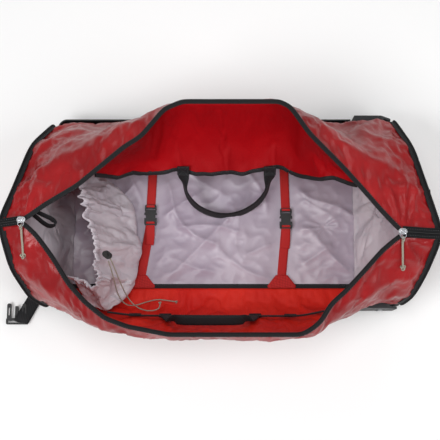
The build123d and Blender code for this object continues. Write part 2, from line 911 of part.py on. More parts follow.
side_buckle_x = -457
side_buckle_bar = -240
side_buckle_base = (46, 14, 3)
side_buckle_slot = (38, 4)
side_prong_spread = 17
side_prong = (36, 9)
side_prong_slot = (18, 4)
side_spine = (7, 30, 2)
side_buckle_thickness = 6
with BuildPart() as side_buckle:
    with BuildSketch(Plane.XY.offset(side_strap_level + side_strap_thickness + 1)):
        with Locations((side_buckle_x, side_buckle_bar + 2)):
            RectangleRounded(*side_buckle_base)
        with Locations((side_buckle_x, side_buckle_bar + 1)):
            Rectangle(*side_buckle_slot, mode=Mode.SUBTRACT)
        for arm_x in (side_buckle_x - side_prong_spread, side_buckle_x + side_prong_spread):
            with Locations((arm_x, side_buckle_bar + 24)):
                SlotOverall(*side_prong, rotation=90)
                SlotOverall(*side_prong_slot, rotation=90, mode=Mode.SUBTRACT)
        with Locations((side_buckle_x, side_buckle_bar + 21)):
            RectangleRounded(*side_spine)
    extrude(amount=side_buckle_thickness)
write(side_buckle.part, "side_strap_buckle")

# ---------------------------------------------------------------- gathered divider pocket
# (y, x at the floor, belly x, belly z, hem x, hem z)
POCKET_STATIONS = [
    (55, -232, -240, 100, -296, 198),
    (34, -206, -200, 84, -297, 204),
    (-30, -186, -176, 86, -276, 204),
    (-86, -179, -169, 86, -260, 199),
    (-130, -184, -173, 86, -256, 195),
    (-158, -197, -184, 88, -260, 190),
]
hem_width = 16
hem_thickness = 5
pocket_thickness = 2
pocket_foot = 5


def pocket_section(station):
    y, floor_x, belly_x, belly_z, hem_x, hem_z = station
    share = hem_width / math.hypot(hem_x - belly_x, hem_z - belly_z)
    neck = (hem_x + share * (belly_x - hem_x), hem_z + share * (belly_z - hem_z))
    line = [(floor_x, liner_top + pocket_foot), (belly_x, belly_z), neck]
    return y, line, (hem_x, hem_z), neck


with BuildPart() as divider_pocket:
    for station in POCKET_STATIONS:
        y, line, _, _ = pocket_section(station)
        with BuildSketch(Plane.XZ.offset(-y)):
            Polygon(*thickened(line, 1, pocket_thickness), align=None)
    loft(ruled=True)
write(divider_pocket.part, "divider_pocket")

with BuildPart() as pocket_hem:
    for station in POCKET_STATIONS:
        y, _, hem, neck = pocket_section(station)
        neck = (neck[0] - 0.8, neck[1] + 1)
        with BuildSketch(Plane.XZ.offset(-y)):
            Polygon(*thickened([neck, hem], 1, hem_thickness), align=None)
    loft(ruled=True)
write(pocket_hem.part, "pocket_hem")

lock_centre = Vector(-231, -113, 200)
lock_plane = Plane(origin=lock_centre, x_dir=(0.8, -0.6, 0), z_dir=(-0.18, -0.24, 0.954))
lock_height = 9
lock_bore_depth = 6
lock_button_radius = 4
with BuildPart() as cord_lock_body:
    with BuildSketch(lock_plane):
        SlotOverall(20, 13)
    extrude(amount=lock_height)
    with BuildSketch(lock_plane.offset(lock_height)):
        Circle(lock_button_radius + 0.3)
    extrude(amount=-lock_bore_depth, mode=Mode.SUBTRACT)
write(cord_lock_body.part, "cord_lock_body")

with BuildPart() as cord_lock_button:
    with BuildSketch(lock_plane.offset(lock_height - 2.8)):
        Circle(lock_button_radius)
    extrude(amount=lock_bore_depth)
write(cord_lock_button.part, "cord_lock_button")

screw_x = (-250, -80, 80, 250)
screw_y = (rail_y[0], rail_y[2])
screw_head = (5, 2.5)
with BuildPart() as base_screws:
    with BuildSketch(Plane.XY.offset(shell_bottom + shell_wall)):
        with Locations(*[(x, y) for x in screw_x for y in screw_y]):
            Circle(screw_head[0])
    extrude(amount=screw_head[1])
write(base_screws.part, "base_screws")
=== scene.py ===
"""Rolling duffel bag, open mouth up: fabric, webbing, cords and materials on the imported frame.

Metres, in the frame's axes: +X towards the wheels, +Y the far side, +Z up. Sizes written in
millimetres are multiplied by MM.
"""

import math

import bmesh
import bpy
import numpy as np
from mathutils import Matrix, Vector, noise


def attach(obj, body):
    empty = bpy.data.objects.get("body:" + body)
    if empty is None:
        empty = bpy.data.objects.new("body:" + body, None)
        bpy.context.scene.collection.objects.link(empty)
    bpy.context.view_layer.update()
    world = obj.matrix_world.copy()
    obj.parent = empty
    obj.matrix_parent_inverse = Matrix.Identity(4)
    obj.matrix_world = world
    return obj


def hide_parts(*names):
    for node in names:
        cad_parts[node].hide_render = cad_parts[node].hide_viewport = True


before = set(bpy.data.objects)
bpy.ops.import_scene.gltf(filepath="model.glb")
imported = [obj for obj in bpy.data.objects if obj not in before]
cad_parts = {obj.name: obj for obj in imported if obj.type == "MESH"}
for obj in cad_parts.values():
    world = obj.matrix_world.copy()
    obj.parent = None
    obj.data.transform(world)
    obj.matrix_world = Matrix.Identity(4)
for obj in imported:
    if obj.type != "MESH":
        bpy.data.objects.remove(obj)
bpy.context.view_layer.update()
scene = bpy.context.scene
MM = 0.001

# ---------------------------------------------------------------- camera
CAMERA_ELEVATION = 80
CAMERA_DISTANCE = 1.9
CAMERA_TARGET = Vector((0, -0.032, 0.150))
CAMERA_LENS = 73


def make_camera():
    data = bpy.data.cameras.new("camera")
    data.sensor_width = 36
    data.lens = CAMERA_LENS
    camera = bpy.data.objects.new("camera", data)
    scene.collection.objects.link(camera)
    rise = math.radians(CAMERA_ELEVATION)
    toward = Vector((0, -math.cos(rise), math.sin(rise)))
    camera.location = CAMERA_TARGET + toward * CAMERA_DISTANCE
    camera.rotation_euler = toward.to_track_quat("Z", "Y").to_euler()
    scene.camera = camera


make_camera()

# ---------------------------------------------------------------- materials


class Nodes:
    """A material's node tree, with short calls for the nodes that these materials use."""

    def __init__(self, name, color, roughness, metallic=0.0):
        self.material = bpy.data.materials.new(name)
        self.material.use_nodes = True
        self.tree = self.material.node_tree
        self.shader = self.tree.nodes["Principled BSDF"]
        self.set(Base_Color=(*color, 1), Roughness=roughness, Metallic=metallic)
        self.bump_into = None

    def set(self, node=None, **inputs):
        """Sets inputs of a node, or of the shader, by name with _ for each space."""
        for key, value in inputs.items():
            (node or self.shader).inputs[key.replace("_", " ")].default_value = value

    def add(self, kind, **inputs):
        node = self.tree.nodes.new(kind)
        self.set(node, **inputs)
        return node

    def link(self, source, target):
        self.tree.links.new(source, target)

    def coordinates(self, space="Object", scale=(1, 1, 1)):
        """Texture coordinates of one space, multiplied by a scale."""
        coords = self.add("ShaderNodeTexCoord")
        mapping = self.add("ShaderNodeMapping", Scale=scale)
        self.link(coords.outputs[space], mapping.inputs["Vector"])
        return mapping.outputs["Vector"]

    def noise(self, vector, scale, detail=4.0, roughness=0.5):
        node = self.add("ShaderNodeTexNoise", Scale=scale, Detail=detail, Roughness=roughness)
        self.link(vector, node.inputs["Vector"])
        return node.outputs["Fac"]

    def wave(self, vector, scale, direction, distortion=0.0, profile="SIN"):
        node = self.add("ShaderNodeTexWave", Scale=scale, Distortion=distortion)
        node.bands_direction = direction
        node.wave_profile = profile
        self.link(vector, node.inputs["Vector"])
        return node.outputs["Fac"]

    def math(self, operation, first, second):
        node = self.tree.nodes.new("ShaderNodeMath")
        node.operation = operation
        for socket, value in zip(node.inputs, (first, second)):
            if isinstance(value, (int, float)):
                socket.default_value = value
            else:
                self.link(value, socket)
        return node.outputs[0]

    def spread(self, value, low, high, start=0.0, end=1.0):
        """A value from start..end spread onto low..high."""
        node = self.add("ShaderNodeMapRange", From_Min=start, From_Max=end, To_Min=low, To_Max=high)
        self.link(value, node.inputs["Value"])
        return node.outputs["Result"]

    def color_mix(self, value, first, second):
        node = self.tree.nodes.new("ShaderNodeMix")
        node.data_type = "RGBA"
        self.link(value, node.inputs["Factor"])
        node.inputs["A"].default_value = (*first, 1)
        node.inputs["B"].default_value = (*second, 1)
        self.link(node.outputs["Result"], self.shader.inputs["Base Color"])

    def roughness(self, value, low, high):
        self.link(self.spread(value, low, high), self.shader.inputs["Roughness"])

    def bump(self, value, distance, strength=1.0):
        """Adds one bump layer on top of those before it."""
        node = self.add("ShaderNodeBump", Distance=distance, Strength=strength)
        self.link(value, node.inputs["Height"])
        if self.bump_into is not None:
            self.link(self.bump_into, node.inputs["Normal"])
        self.bump_into = node.outputs["Normal"]
        self.link(self.bump_into, self.shader.inputs["Normal"])


def wave_scale(spacing):
    """The wave texture's scale that puts its bands this far apart, in metres."""
    return math.pi / spacing / 10


def ripstop_height(nodes, cell):
    """A fine ripstop grid from the cloth's own UV, which is in metres."""
    uv = nodes.coordinates("UV")
    threads = [nodes.math("POWER", nodes.wave(uv, wave_scale(cell), axis), 10) for axis in "XY"]
    return nodes.math("MAXIMUM", *threads)


def make_coated_fabric(name, color, dark, roughness, coat, gloss, cell, grid_depth):
    nodes = Nodes(name, color, roughness)
    place = nodes.coordinates()
    broad = nodes.noise(place, 9, 5)
    nodes.color_mix(nodes.spread(broad, 0, 1, 0.3, 0.7), dark, color)
    nodes.roughness(nodes.noise(place, 60, 3), roughness - 0.06, roughness + 0.1)
    nodes.bump(nodes.noise(place, 45, 6, 0.6), 0.0016, 0.35)
    nodes.bump(ripstop_height(nodes, cell), grid_depth, 0.5)
    nodes.set(Coat_Weight=coat, Coat_Roughness=0.13, Specular_IOR_Level=gloss)
    return nodes.material


def make_lining(name, color, dark):
    nodes = Nodes(name, color, 0.36)
    place = nodes.coordinates()
    nodes.color_mix(nodes.spread(nodes.noise(place, 7, 4), 0, 1, 0.3, 0.7), dark, color)
    nodes.roughness(nodes.noise(place, 30, 3), 0.28, 0.46)
    nodes.bump(nodes.noise(place, 26, 5, 0.55), 0.0022, 0.35)
    uv = nodes.coordinates("UV")
    weave = nodes.math("MULTIPLY", nodes.wave(uv, 110, "X"), nodes.wave(uv, 110, "Y"))
    nodes.bump(weave, 0.0001, 0.4)
    nodes.set(Sheen_Weight=0.15, Sheen_Roughness=0.35)
    return nodes.material


def make_webbing(name, color, dark, rib):
    """Woven webbing, with ribs across its length and a faint diagonal weave."""
    nodes = Nodes(name, color, 0.62)
    uv = nodes.coordinates("UV")
    ribs = nodes.wave(uv, wave_scale(rib), "Y", 0.6)
    chevrons = nodes.wave(uv, wave_scale(1.6 * rib), "DIAGONAL", 1.5)
    pattern = nodes.math("MULTIPLY", nodes.math("ADD", ribs, chevrons), 0.5)
    nodes.color_mix(pattern, dark, color)
    nodes.bump(pattern, 0.0004, 0.8)
    nodes.bump(nodes.noise(nodes.coordinates(), 400, 2), 0.0002, 0.4)
    nodes.set(Sheen_Weight=0.04, Sheen_Roughness=0.5, Specular_IOR_Level=0.18)
    return nodes.material


def make_plastic(name, color, roughness, grain=500, depth=0.00012):
    nodes = Nodes(name, color, roughness)
    place = nodes.coordinates()
    worn = tuple(min(1.0, value * 1.7 + 0.004) for value in color)
    nodes.color_mix(nodes.spread(nodes.noise(place, 25, 6, 0.65), 0, 1, 0.52, 0.75), color, worn)
    nodes.roughness(nodes.noise(place, 90, 4), roughness - 0.08, roughness + 0.12)
    nodes.bump(nodes.noise(place, grain, 2), depth, 0.7)
    nodes.set(Specular_IOR_Level=0.35)
    return nodes.material


def make_metal(name, color, roughness, streak):
    nodes = Nodes(name, color, roughness, metallic=1.0)
    place = nodes.coordinates("Object", streak)
    scratches = nodes.noise(place, 30, 4, 0.6)
    nodes.roughness(scratches, roughness - 0.08, roughness + 0.14)
    nodes.bump(scratches, 0.00008, 0.5)
    return nodes.material


def make_cord_material():
    nodes = Nodes("braid", (0.36, 0.31, 0.23), 0.7)
    place = nodes.coordinates()
    strands = nodes.wave(place, 190, "DIAGONAL", 2.0)
    nodes.color_mix(strands, (0.16, 0.14, 0.11), (0.46, 0.42, 0.34))
    nodes.bump(strands, 0.0004, 0.7)
    return nodes.material


SHELL = make_coated_fabric(
    "coated_ripstop", (0.37, 0.014, 0.016), (0.22, 0.006, 0.008), 0.29, 0.07, 0.30, 0.0055, 0.00018
)
INNER = make_coated_fabric(
    "red_backing", (0.76, 0.028, 0.014), (0.58, 0.010, 0.006), 0.55, 0.0, 0.25, 0.0055, 0.00016
)
FLAP_MATERIAL = make_coated_fabric(
    "red_ripstop_flap", (0.36, 0.001, 0.004), (0.29, 0.0005, 0.003), 0.6, 0.0, 0.12, 0.0048, 0.0002
)
LINING = make_lining("satin_lining", (0.46, 0.405, 0.475), (0.33, 0.275, 0.35))
POCKET = make_lining("pocket_lining", (0.60, 0.56, 0.60), (0.46, 0.42, 0.47))
BLACK_WEB = make_webbing("black_webbing", (0.016, 0.016, 0.018), (0.006, 0.006, 0.007), 0.0022)
ZIP_TAPE = make_webbing("zip_tape", (0.010, 0.010, 0.011), (0.005, 0.005, 0.006), 0.0012)
BLACK_TAPE = make_webbing("black_tape", (0.018, 0.019, 0.021), (0.008, 0.008, 0.009), 0.0012)
RED_WEB = make_webbing("red_webbing", (0.50, 0.022, 0.020), (0.36, 0.012, 0.012), 0.0018)
STITCH = make_webbing("stitch_thread", (0.24, 0.24, 0.25), (0.14, 0.14, 0.15), 0.0006)
STITCH_RED = make_webbing("red_thread", (0.62, 0.05, 0.04), (0.40, 0.02, 0.02), 0.0006)
BASE_PLASTIC = make_plastic("base_moulding", (0.022, 0.023, 0.025), 0.52)
BUCKLE = make_plastic("buckle_moulding", (0.008, 0.008, 0.009), 0.38, 900, 0.00005)
LOCK = make_plastic("lock_moulding", (0.003, 0.003, 0.003), 0.6, 900, 0.00003)
HUB = make_plastic("hub_nylon", (0.22, 0.22, 0.23), 0.45)
TYRE = make_plastic("tyre_rubber", (0.02, 0.02, 0.021), 0.68, 700, 0.0001)
BOARD = make_plastic("board_sheet", (0.07, 0.07, 0.075), 0.6)
STEEL = make_metal("zinc_steel", (0.52, 0.52, 0.54), 0.32, (1, 8, 1))
ALLOY = make_metal("anodised_alloy", (0.56, 0.57, 0.60), 0.3, (0.4, 12, 12))
SLIDER = make_metal("slider_plate", (0.74, 0.75, 0.78), 0.22, (3, 3, 3))
BRAID = make_cord_material()

CAD_MATERIALS = {
    BASE_PLASTIC: "base_shell skid_rails head_feet kick_plate wheel_housing_near "
                  "wheel_housing_far trolley_bezel trolley_grip trolley_end_bracket",
    BOARD: "base_board",
    TYRE: "wheel_tyre_near wheel_tyre_far",
    HUB: "wheel_hub_near wheel_hub_far trolley_button",
    STEEL: "wheel_bearings_near wheel_bearings_far wheel_axle_near wheel_axle_far base_screws",
    ALLOY: "trolley_outer_tubes trolley_mid_tubes trolley_inner_tubes",
    BUCKLE: "strap_buckle_sockets strap_buckle_plug_left strap_buckle_plug_right "
            "side_strap_buckle",
    LOCK: "cord_lock_body cord_lock_button",
    SLIDER: "zip_sliders zip_puller_head zip_puller_wheel",
}
for material, names in CAD_MATERIALS.items():
    for name in names.split():
        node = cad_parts[name]
        node.data.materials.clear()
        node.data.materials.append(material)


# ---------------------------------------------------------------- mesh helpers
ALONG = np.array((1.0, 0, 0))
UP = np.array((0, 0, 1.0))


def link_object(name, data):
    obj = bpy.data.objects.new(name, data)
    scene.collection.objects.link(obj)
    return obj


def finish_piece(obj, replaced=(), body="bag"):
    """Shades the piece smooth, hangs it under its body's empty and hides the CAD nodes that it
    replaces.
    """
    if obj.type == "MESH":
        obj.data.shade_smooth()
    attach(obj, body)
    if replaced:
        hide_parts(*replaced)
    return obj


def make_mesh(name, points, faces, materials, uv=None):
    """An object from vertices and faces, with one (u, v) pair per vertex if they are given."""
    mesh = bpy.data.meshes.new(name)
    mesh.from_pydata(np.reshape(points, (-1, 3)).tolist(), [], faces)
    if uv is not None:
        index = np.empty(len(mesh.loops), dtype=int)
        mesh.loops.foreach_get("vertex_index", index)
        mesh.uv_layers.new(name="cloth").data.foreach_set("uv", uv[index].ravel())
    for material in materials:
        mesh.materials.append(material)
    return link_object(name, mesh)


def get_points(mesh):
    points = np.empty(len(mesh.vertices) * 3)
    mesh.vertices.foreach_get("co", points)
    return points.reshape(-1, 3)


def set_points(mesh, points):
    mesh.vertices.foreach_set("co", points.ravel())


def running_length(steps):
    return np.concatenate([[0], np.cumsum(steps)])


def grid_object(name, points, materials, closed=False):
    """A mesh over an (n, m, 3) grid of points in metres, with UV in metres."""
    rows, columns = points.shape[:2]
    faces = []
    for i in range(rows if closed else rows - 1):
        after = (i + 1) % rows
        for j in range(columns - 1):
            faces.append((i * columns + j, after * columns + j,
                          after * columns + j + 1, i * columns + j + 1))
    u = running_length(np.linalg.norm(np.diff(points, axis=0), axis=2).mean(axis=1))
    v = running_length(np.linalg.norm(np.diff(points, axis=1), axis=2).mean(axis=0))
    uv = np.column_stack([np.repeat(u, columns), np.tile(v, rows)])
    return make_mesh(name, points, faces, materials, uv)


def smooth_rows(values, spread):
    """Each column averaged along the rows with a bell of that spread, in rows, ends kept."""
    reach = int(3 * spread) + 1
    bell = np.exp(-0.5 * (np.arange(-reach, reach + 1) / spread) ** 2)
    bell /= bell.sum()
    values = np.asarray(values, dtype=float)
    first = 2 * values[:1] - values[reach:0:-1]
    last = 2 * values[-1:] - values[-2:-reach - 2:-1]
    padded = np.concatenate([first, values, last])
    flat = padded.reshape(len(padded), -1)
    out = np.stack([np.convolve(column, bell, "valid") for column in flat.T], axis=1)
    return out.reshape(values.shape)


def resample(line, count):
    """A polyline's points, evenly spaced along its length."""
    line = np.asarray(line, dtype=float)
    where = running_length(np.linalg.norm(np.diff(line, axis=0), axis=1))
    wanted = np.linspace(0, where[-1], count)
    return np.stack([np.interp(wanted, where, column) for column in line.T], axis=1)


def unit(vectors):
    vectors = np.asarray(vectors, dtype=float)
    return vectors / np.maximum(np.linalg.norm(vectors, axis=-1, keepdims=True), 1e-9)


def tangents(line, closed=False):
    if closed:
        return unit(np.roll(line, -1, axis=0) - np.roll(line, 1, axis=0))
    return unit(np.gradient(line, axis=0))


def ease(value):
    """A value limited to 0..1 that leaves and reaches its ends softly."""
    value = np.clip(value, 0, 1)
    return value * value * (3 - 2 * value)


def skin(name, rings, material, closed, uv=None):
    """A mesh over rings of points along a line, joined end to end or capped."""
    count, sides = rings.shape[:2]
    faces = []
    for i in range(count if closed else count - 1):
        after = (i + 1) % count
        for j in range(sides):
            k = (j + 1) % sides
            faces.append((i * sides + j, i * sides + k, after * sides + k, after * sides + j))
    if not closed:
        faces.append(tuple(range(sides)))
        faces.append(tuple((count - 1) * sides + j for j in reversed(range(sides))))
    return make_mesh(name, rings, faces, [material], uv)


# A strip's cross-section: place across it, and height in half thicknesses.
STRIP_SECTION = (
    (-1, 0), (-0.96, 0.8), (-0.55, 1), (0, 1), (0.55, 1), (0.96, 0.8),
    (1, 0), (0.96, -0.8), (0.55, -1), (0, -1), (-0.55, -1), (-0.96, -0.8),
)


def ribbon(name, line, across, width, thickness, material, closed=False, crown=0.0):
    """A flat strip with rounded edges that follows a line."""
    line = np.asarray(line, dtype=float)
    along = tangents(line, closed)
    across = np.broadcast_to(np.asarray(across, dtype=float), line.shape)
    across = unit(across - along * (across * along).sum(axis=1, keepdims=True))
    up = np.cross(along, across)
    rings = np.stack([
        line + across * (width * share / 2)
        + up * (lift * thickness / 2 + crown * (1 - share * share))
        for share, lift in STRIP_SECTION
    ], axis=1)
    where = running_length(np.linalg.norm(np.diff(line, axis=0), axis=1))
    shares = np.array([share for share, _ in STRIP_SECTION])
    uv = np.column_stack([np.tile(shares * width / 2, len(line)), np.repeat(where, len(shares))])
    strip = skin(name, rings, material, closed, uv)
    strip.data.validate()
    return strip


def tube(name, line, radius, material, closed=False, sides=10):
    """A round tube mesh along a line. radius may be one number per point."""
    line = np.asarray(line, dtype=float)
    along = tangents(line, closed)
    side = np.cross(along, UP)
    upright = np.linalg.norm(side, axis=1) < 0.1
    side[upright] = np.cross(along[upright], ALONG)
    side = unit(side)
    up = np.cross(along, side)
    radii = np.broadcast_to(np.asarray(radius, dtype=float), (len(line),))[:, None]
    rings = [line + radii * (side * math.cos(a) + up * math.sin(a))
             for a in np.linspace(0, 2 * math.pi, sides, endpoint=False)]
    obj = skin(name, np.stack(rings, axis=1), material, closed)
    obj.data.flip_normals()
    return obj


def solidify(obj, thickness, offset=-1.0, inner_material=0):
    modifier = obj.modifiers.new("thickness", "SOLIDIFY")
    modifier.thickness = thickness
    modifier.offset = offset
    modifier.material_offset = inner_material
    modifier.use_even_offset = False


def wrinkle(obj, amount, scale, stretch, seed, mask):
    """Moves vertices along their normals by ridged noise, by the mask's share of the amount."""
    mesh = obj.data
    shift = Vector((seed, seed * 0.7, -seed))
    moves = []
    for vertex in mesh.vertices:
        p = Vector([c * s for c, s in zip(vertex.co, stretch)]) * scale + shift
        ridge = 0.45 - abs(noise.noise(p) + 0.5 * noise.noise(p * 2.1))
        moves.append(ridge * amount * mask[vertex.index])
    for vertex, normal, move in zip(mesh.vertices, mesh.vertex_normals, moves):
        vertex.co += Vector(normal.vector) * move


CLOTH_FRAMES = 20
CLOTH_SETTINGS = {
    "quality": 6, "mass": 0.15, "tension_stiffness": 20, "compression_stiffness": 20,
    "shear_stiffness": 10, "air_damping": 3,
}


def crumple(obj, pinned, excess, cap, bend, gravity=0.0):
    """Cloth with a little spare fabric, held where it is sewn, and its shape applied."""
    group = obj.vertex_groups.new(name="sewn")
    group.add([int(i) for i in pinned], 1.0, "REPLACE")
    modifier = obj.modifiers.new("cloth", "CLOTH")
    settings = modifier.settings
    for key, value in CLOTH_SETTINGS.items():
        setattr(settings, key, value)
    settings.bending_stiffness = bend
    settings.shrink_min = settings.shrink_max = -excess
    settings.vertex_group_mass = group.name
    settings.effector_weights.gravity = gravity
    modifier.point_cache.frame_start = 1
    modifier.point_cache.frame_end = CLOTH_FRAMES
    for number in range(1, CLOTH_FRAMES + 1):
        scene.frame_set(number)
    settled = obj.evaluated_get(bpy.context.evaluated_depsgraph_get())
    rest = get_points(obj.data)
    step = get_points(settled.data) - rest
    length = np.linalg.norm(step, axis=1, keepdims=True)
    step *= np.minimum(1.0, cap / np.maximum(length, 1e-9))
    obj.modifiers.remove(modifier)
    set_points(obj.data, rest + step)
    obj.data.update()
    scene.frame_set(1)


def border(rows, columns):
    """Indices of a grid's edge vertices."""
    index = np.arange(rows * columns).reshape(rows, columns)
    return np.unique(np.concatenate([index[:, 0], index[:, -1], index[0], index[-1]]))


# ---------------------------------------------------------------- cords
def cord_curve(name, points, diameter, body, node):
    """A free cord as one smooth NURBS curve through its route's control points."""
    curve = bpy.data.curves.new(name, "CURVE")
    curve.dimensions = "3D"
    spline = curve.splines.new("NURBS")
    spline.points.add(len(points) - 1)
    for target, point in zip(spline.points, points):
        target.co = (*point, 1)
    spline.order_u = 3
    spline.use_endpoint_u = True
    spline.resolution_u = 12
    curve.bevel_depth = diameter / 2
    curve.bevel_resolution = 4
    curve.use_fill_caps = True
    curve.materials.append(BRAID)
    return finish_piece(link_object(name, curve), [node], body)


def knot(name, centre, size, wire, body):
    """A tied knot: a trefoil of cord, pulled tight."""
    turn = np.linspace(0, 2 * math.pi, 72, endpoint=False)
    line = np.stack([
        np.sin(turn) + 2 * np.sin(2 * turn),
        np.cos(turn) - 2 * np.cos(2 * turn),
        -1.4 * np.sin(3 * turn),
    ], axis=1) * size / 3 + np.array(centre)
    return finish_piece(tube(name, line, wire / 2, BRAID, True, 8), body=body)


PULL_CORD_DIAMETER = 0.0045
DRAW_CORD_DIAMETER = 0.0026
CORDS = {
    "pull_cord_head": (
        [(-0.3865, -0.075, 0.3105), (-0.387, -0.093, 0.3015), (-0.3865, -0.110, 0.2905),
         (-0.3875, -0.127, 0.2815)],
        PULL_CORD_DIAMETER, 0.0596, "puller_head",
    ),
    "pull_cord_wheel": (
        [(0.3545, -0.098, 0.3105), (0.3555, -0.112, 0.3015), (0.3575, -0.126, 0.2915),
         (0.359, -0.1385, 0.281), (0.361, -0.149, 0.2715)],
        PULL_CORD_DIAMETER, 0.0647, "puller_wheel",
    ),
    "draw_cord_long": (
        [(-0.226, -0.121, 0.196), (-0.219, -0.139, 0.176), (-0.212, -0.160, 0.152),
         (-0.204, -0.181, 0.127), (-0.194, -0.200, 0.104), (-0.178, -0.214, 0.092),
         (-0.160, -0.221, 0.097), (-0.142, -0.221, 0.099), (-0.129, -0.214, 0.088),
         (-0.131, -0.202, 0.074)],
        DRAW_CORD_DIAMETER, 0.2211, "bag",
    ),
    "draw_cord_short": (
        [(-0.230, -0.126, 0.196), (-0.225, -0.146, 0.170), (-0.222, -0.168, 0.141),
         (-0.218, -0.189, 0.115), (-0.206, -0.207, 0.094), (-0.187, -0.209, 0.075),
         (-0.163, -0.200, 0.066), (-0.138, -0.193, 0.062), (-0.115, -0.196, 0.063),
         (-0.096, -0.199, 0.064)],
        DRAW_CORD_DIAMETER, 0.2543, "bag",
    ),
}


def make_cords():
    for node, (points, diameter, length, body) in CORDS.items():
        piece = cord_curve(node + "_braid", points, diameter, body, node)
        end_knot = knot(node + "_knot", points[-1], diameter * 1.15, diameter * 0.62, body)


make_cords()

# ---------------------------------------------------------------- outer fabric
# Cross-sections of the side panels, in millimetres: x, shoulder y and z, lip y and z, and
# how far the belly between rim and shoulder bulges outward.
FAR = np.array([
    (-432, 6, 248, -58, 292, 26), (-387, 36, 262, -58, 308, 25), (-343, 69, 270, -25, 305, 18),
    (-283, 94, 276, 12, 305, 8), (-192, 145, 277, 91, 304, 3), (-159, 158, 278, 112, 304, 3),
    (-114, 184, 266, 169, 302, 2), (-76, 194, 256, 186, 300, 4), (120, 194, 256, 186, 300, 4),
    (144, 187, 262, 173, 302, 2), (180, 160, 276, 118, 304, 3), (243, 113, 278, 51, 305, 3),
    (285, 82, 276, 2, 305, 5), (318, 68, 270, -38, 305, 9), (355, 48, 262, -80, 308, 13),
    (432, 6, 248, -80, 292, 18),
]) * MM
NEAR = np.array([
    (-432, -147, 238, -70, 291, 18), (-387, -165, 250, -67, 307, 22),
    (-361, -180, 252, -91, 300, 23), (-328, -204, 250, -135, 296, 22),
    (-298, -232, 250, -184, 292, 20), (-264, -254, 250, -221, 289, 16),
    (-225, -272, 245, -252, 287, 12), (-182, -279, 245, -268, 285, 10),
    (-100, -286, 245, -284, 283, 9), (158, -286, 245, -284, 283, 9),
    (178, -280, 245, -274, 284, 11), (200, -270, 245, -256, 287, 14),
    (216, -254, 248, -226, 289, 18), (245, -238, 250, -201, 291, 20),
    (285, -214, 250, -158, 296, 21), (318, -195, 250, -121, 301, 15),
    (355, -172, 245, -91, 307, 14), (432, -150, 230, -90, 291, 14),
]) * MM
END_X = 0.432
# The end panels lean outward from this x and z.
END_FOOT_X, END_FOOT_Z, END_LEAN = 0.368, 0.050, 0.267
# y of the base's rim, on the far and near side.
RIM_EDGE = {1: 0.205, -1: 0.210}
# The panels' lower edge: its y inside the rim, then the heights of that edge and of the rim,
# over the base and over the wheel housings, which start at WHEEL_START_X.
FLOOR_EDGE_Y = 0.168
WHEEL_START_X = 0.309
BASE_Z, WHEEL_Z = (0.043, 0.063), (0.099, 0.102)
SEAM_INSET = 0.004
FABRIC = 0.0016
# Distance between cross-sections, and the number of points in each.
SECTION_STEP = 0.004
SECTION_POINTS = 60
# Where the side panels are pulled into creases: point, count, reach, depth and phase.
PULLS = (
    ((-0.387, -0.06, 0.30), 4.6, 0.17, 0.012, 0.6),
    ((0.355, -0.085, 0.30), 5.0, 0.18, 0.012, 1.9),
)


def lean_at(x):
    """How far a cross-section leans outward per metre of height."""
    return np.sign(x) * END_LEAN * np.abs(x / END_X) ** 3


def sections(stations, side, xs):
    """Floor, rim, belly, shoulder and lip at each x, as an (n, 5, 2) array of y and z."""
    shoulder_y, shoulder_z, lip_y, lip_z, bulge = (
        np.interp(xs, stations[:, 0], stations[:, k]) for k in range(1, 6)
    )
    floor_z, rim_z = (np.where(xs > WHEEL_START_X, wheel, base)
                      for base, wheel in zip(BASE_Z, WHEEL_Z))
    run_y, run_z = shoulder_y - side * RIM_EDGE[side], shoulder_z - rim_z
    reach = side * bulge / np.hypot(run_y, run_z)
    belly_y = side * RIM_EDGE[side] + run_y / 2 + run_z * reach
    belly_z = rim_z + run_z / 2 - run_y * reach
    full = np.full_like(xs, side)
    return np.stack([
        np.stack([full * FLOOR_EDGE_Y, floor_z], axis=1),
        np.stack([full * RIM_EDGE[side], rim_z], axis=1),
        np.stack([belly_y, belly_z], axis=1),
        np.stack([shoulder_y, shoulder_z], axis=1),
        np.stack([lip_y, lip_z], axis=1),
    ], axis=1)


def smooth_sections(stations, side):
    xs = np.arange(-END_X, END_X + SECTION_STEP / 2, SECTION_STEP)
    return xs, smooth_rows(sections(stations, side, xs), 1.6)


def panel_points(stations, side):
    """The side panel's surface, from floor edge to lip, as a grid of points."""
    xs, shapes = smooth_sections(stations, side)
    lines = []
    for x, shape in zip(xs, shapes):
        line = smooth_rows(resample(shape, SECTION_POINTS), 1.8)
        place = x * (END_X - SEAM_INSET) / END_X
        lines.append(np.column_stack([place + lean_at(x) * (line[:, 1] - shape[-1, 1]), line]))
    return np.stack(lines)


def lip_line(stations, side, start, end, step=0.003):
    """Points along a lip between two x values."""
    xs, shapes = smooth_sections(stations, side)
    wanted = np.arange(start, end + step / 2, step)
    line = np.column_stack([np.interp(wanted, xs, shapes[:, -1, k]) for k in (0, 1)])
    whole = np.column_stack([wanted, line])
    return resample(whole, int(np.linalg.norm(np.diff(whole, axis=0), axis=1).sum() / step))


def radial_creases(points, centre, count, reach, depth, phase):
    """Creases that fan out from a point where the fabric is pulled, in metres of lift."""
    away = points - np.array(centre)
    distance = np.linalg.norm(away, axis=-1)
    angle = np.arctan2(away[..., 2] * 1.3 + away[..., 1], away[..., 0])
    lift = 1 - np.abs(np.sin(count * angle + phase + 0.9 * np.sin(2.3 * angle + phase)))
    fade = np.exp(-distance / reach) * np.clip(distance / 0.02, 0, 1)
    return (lift - 0.4) * depth * fade


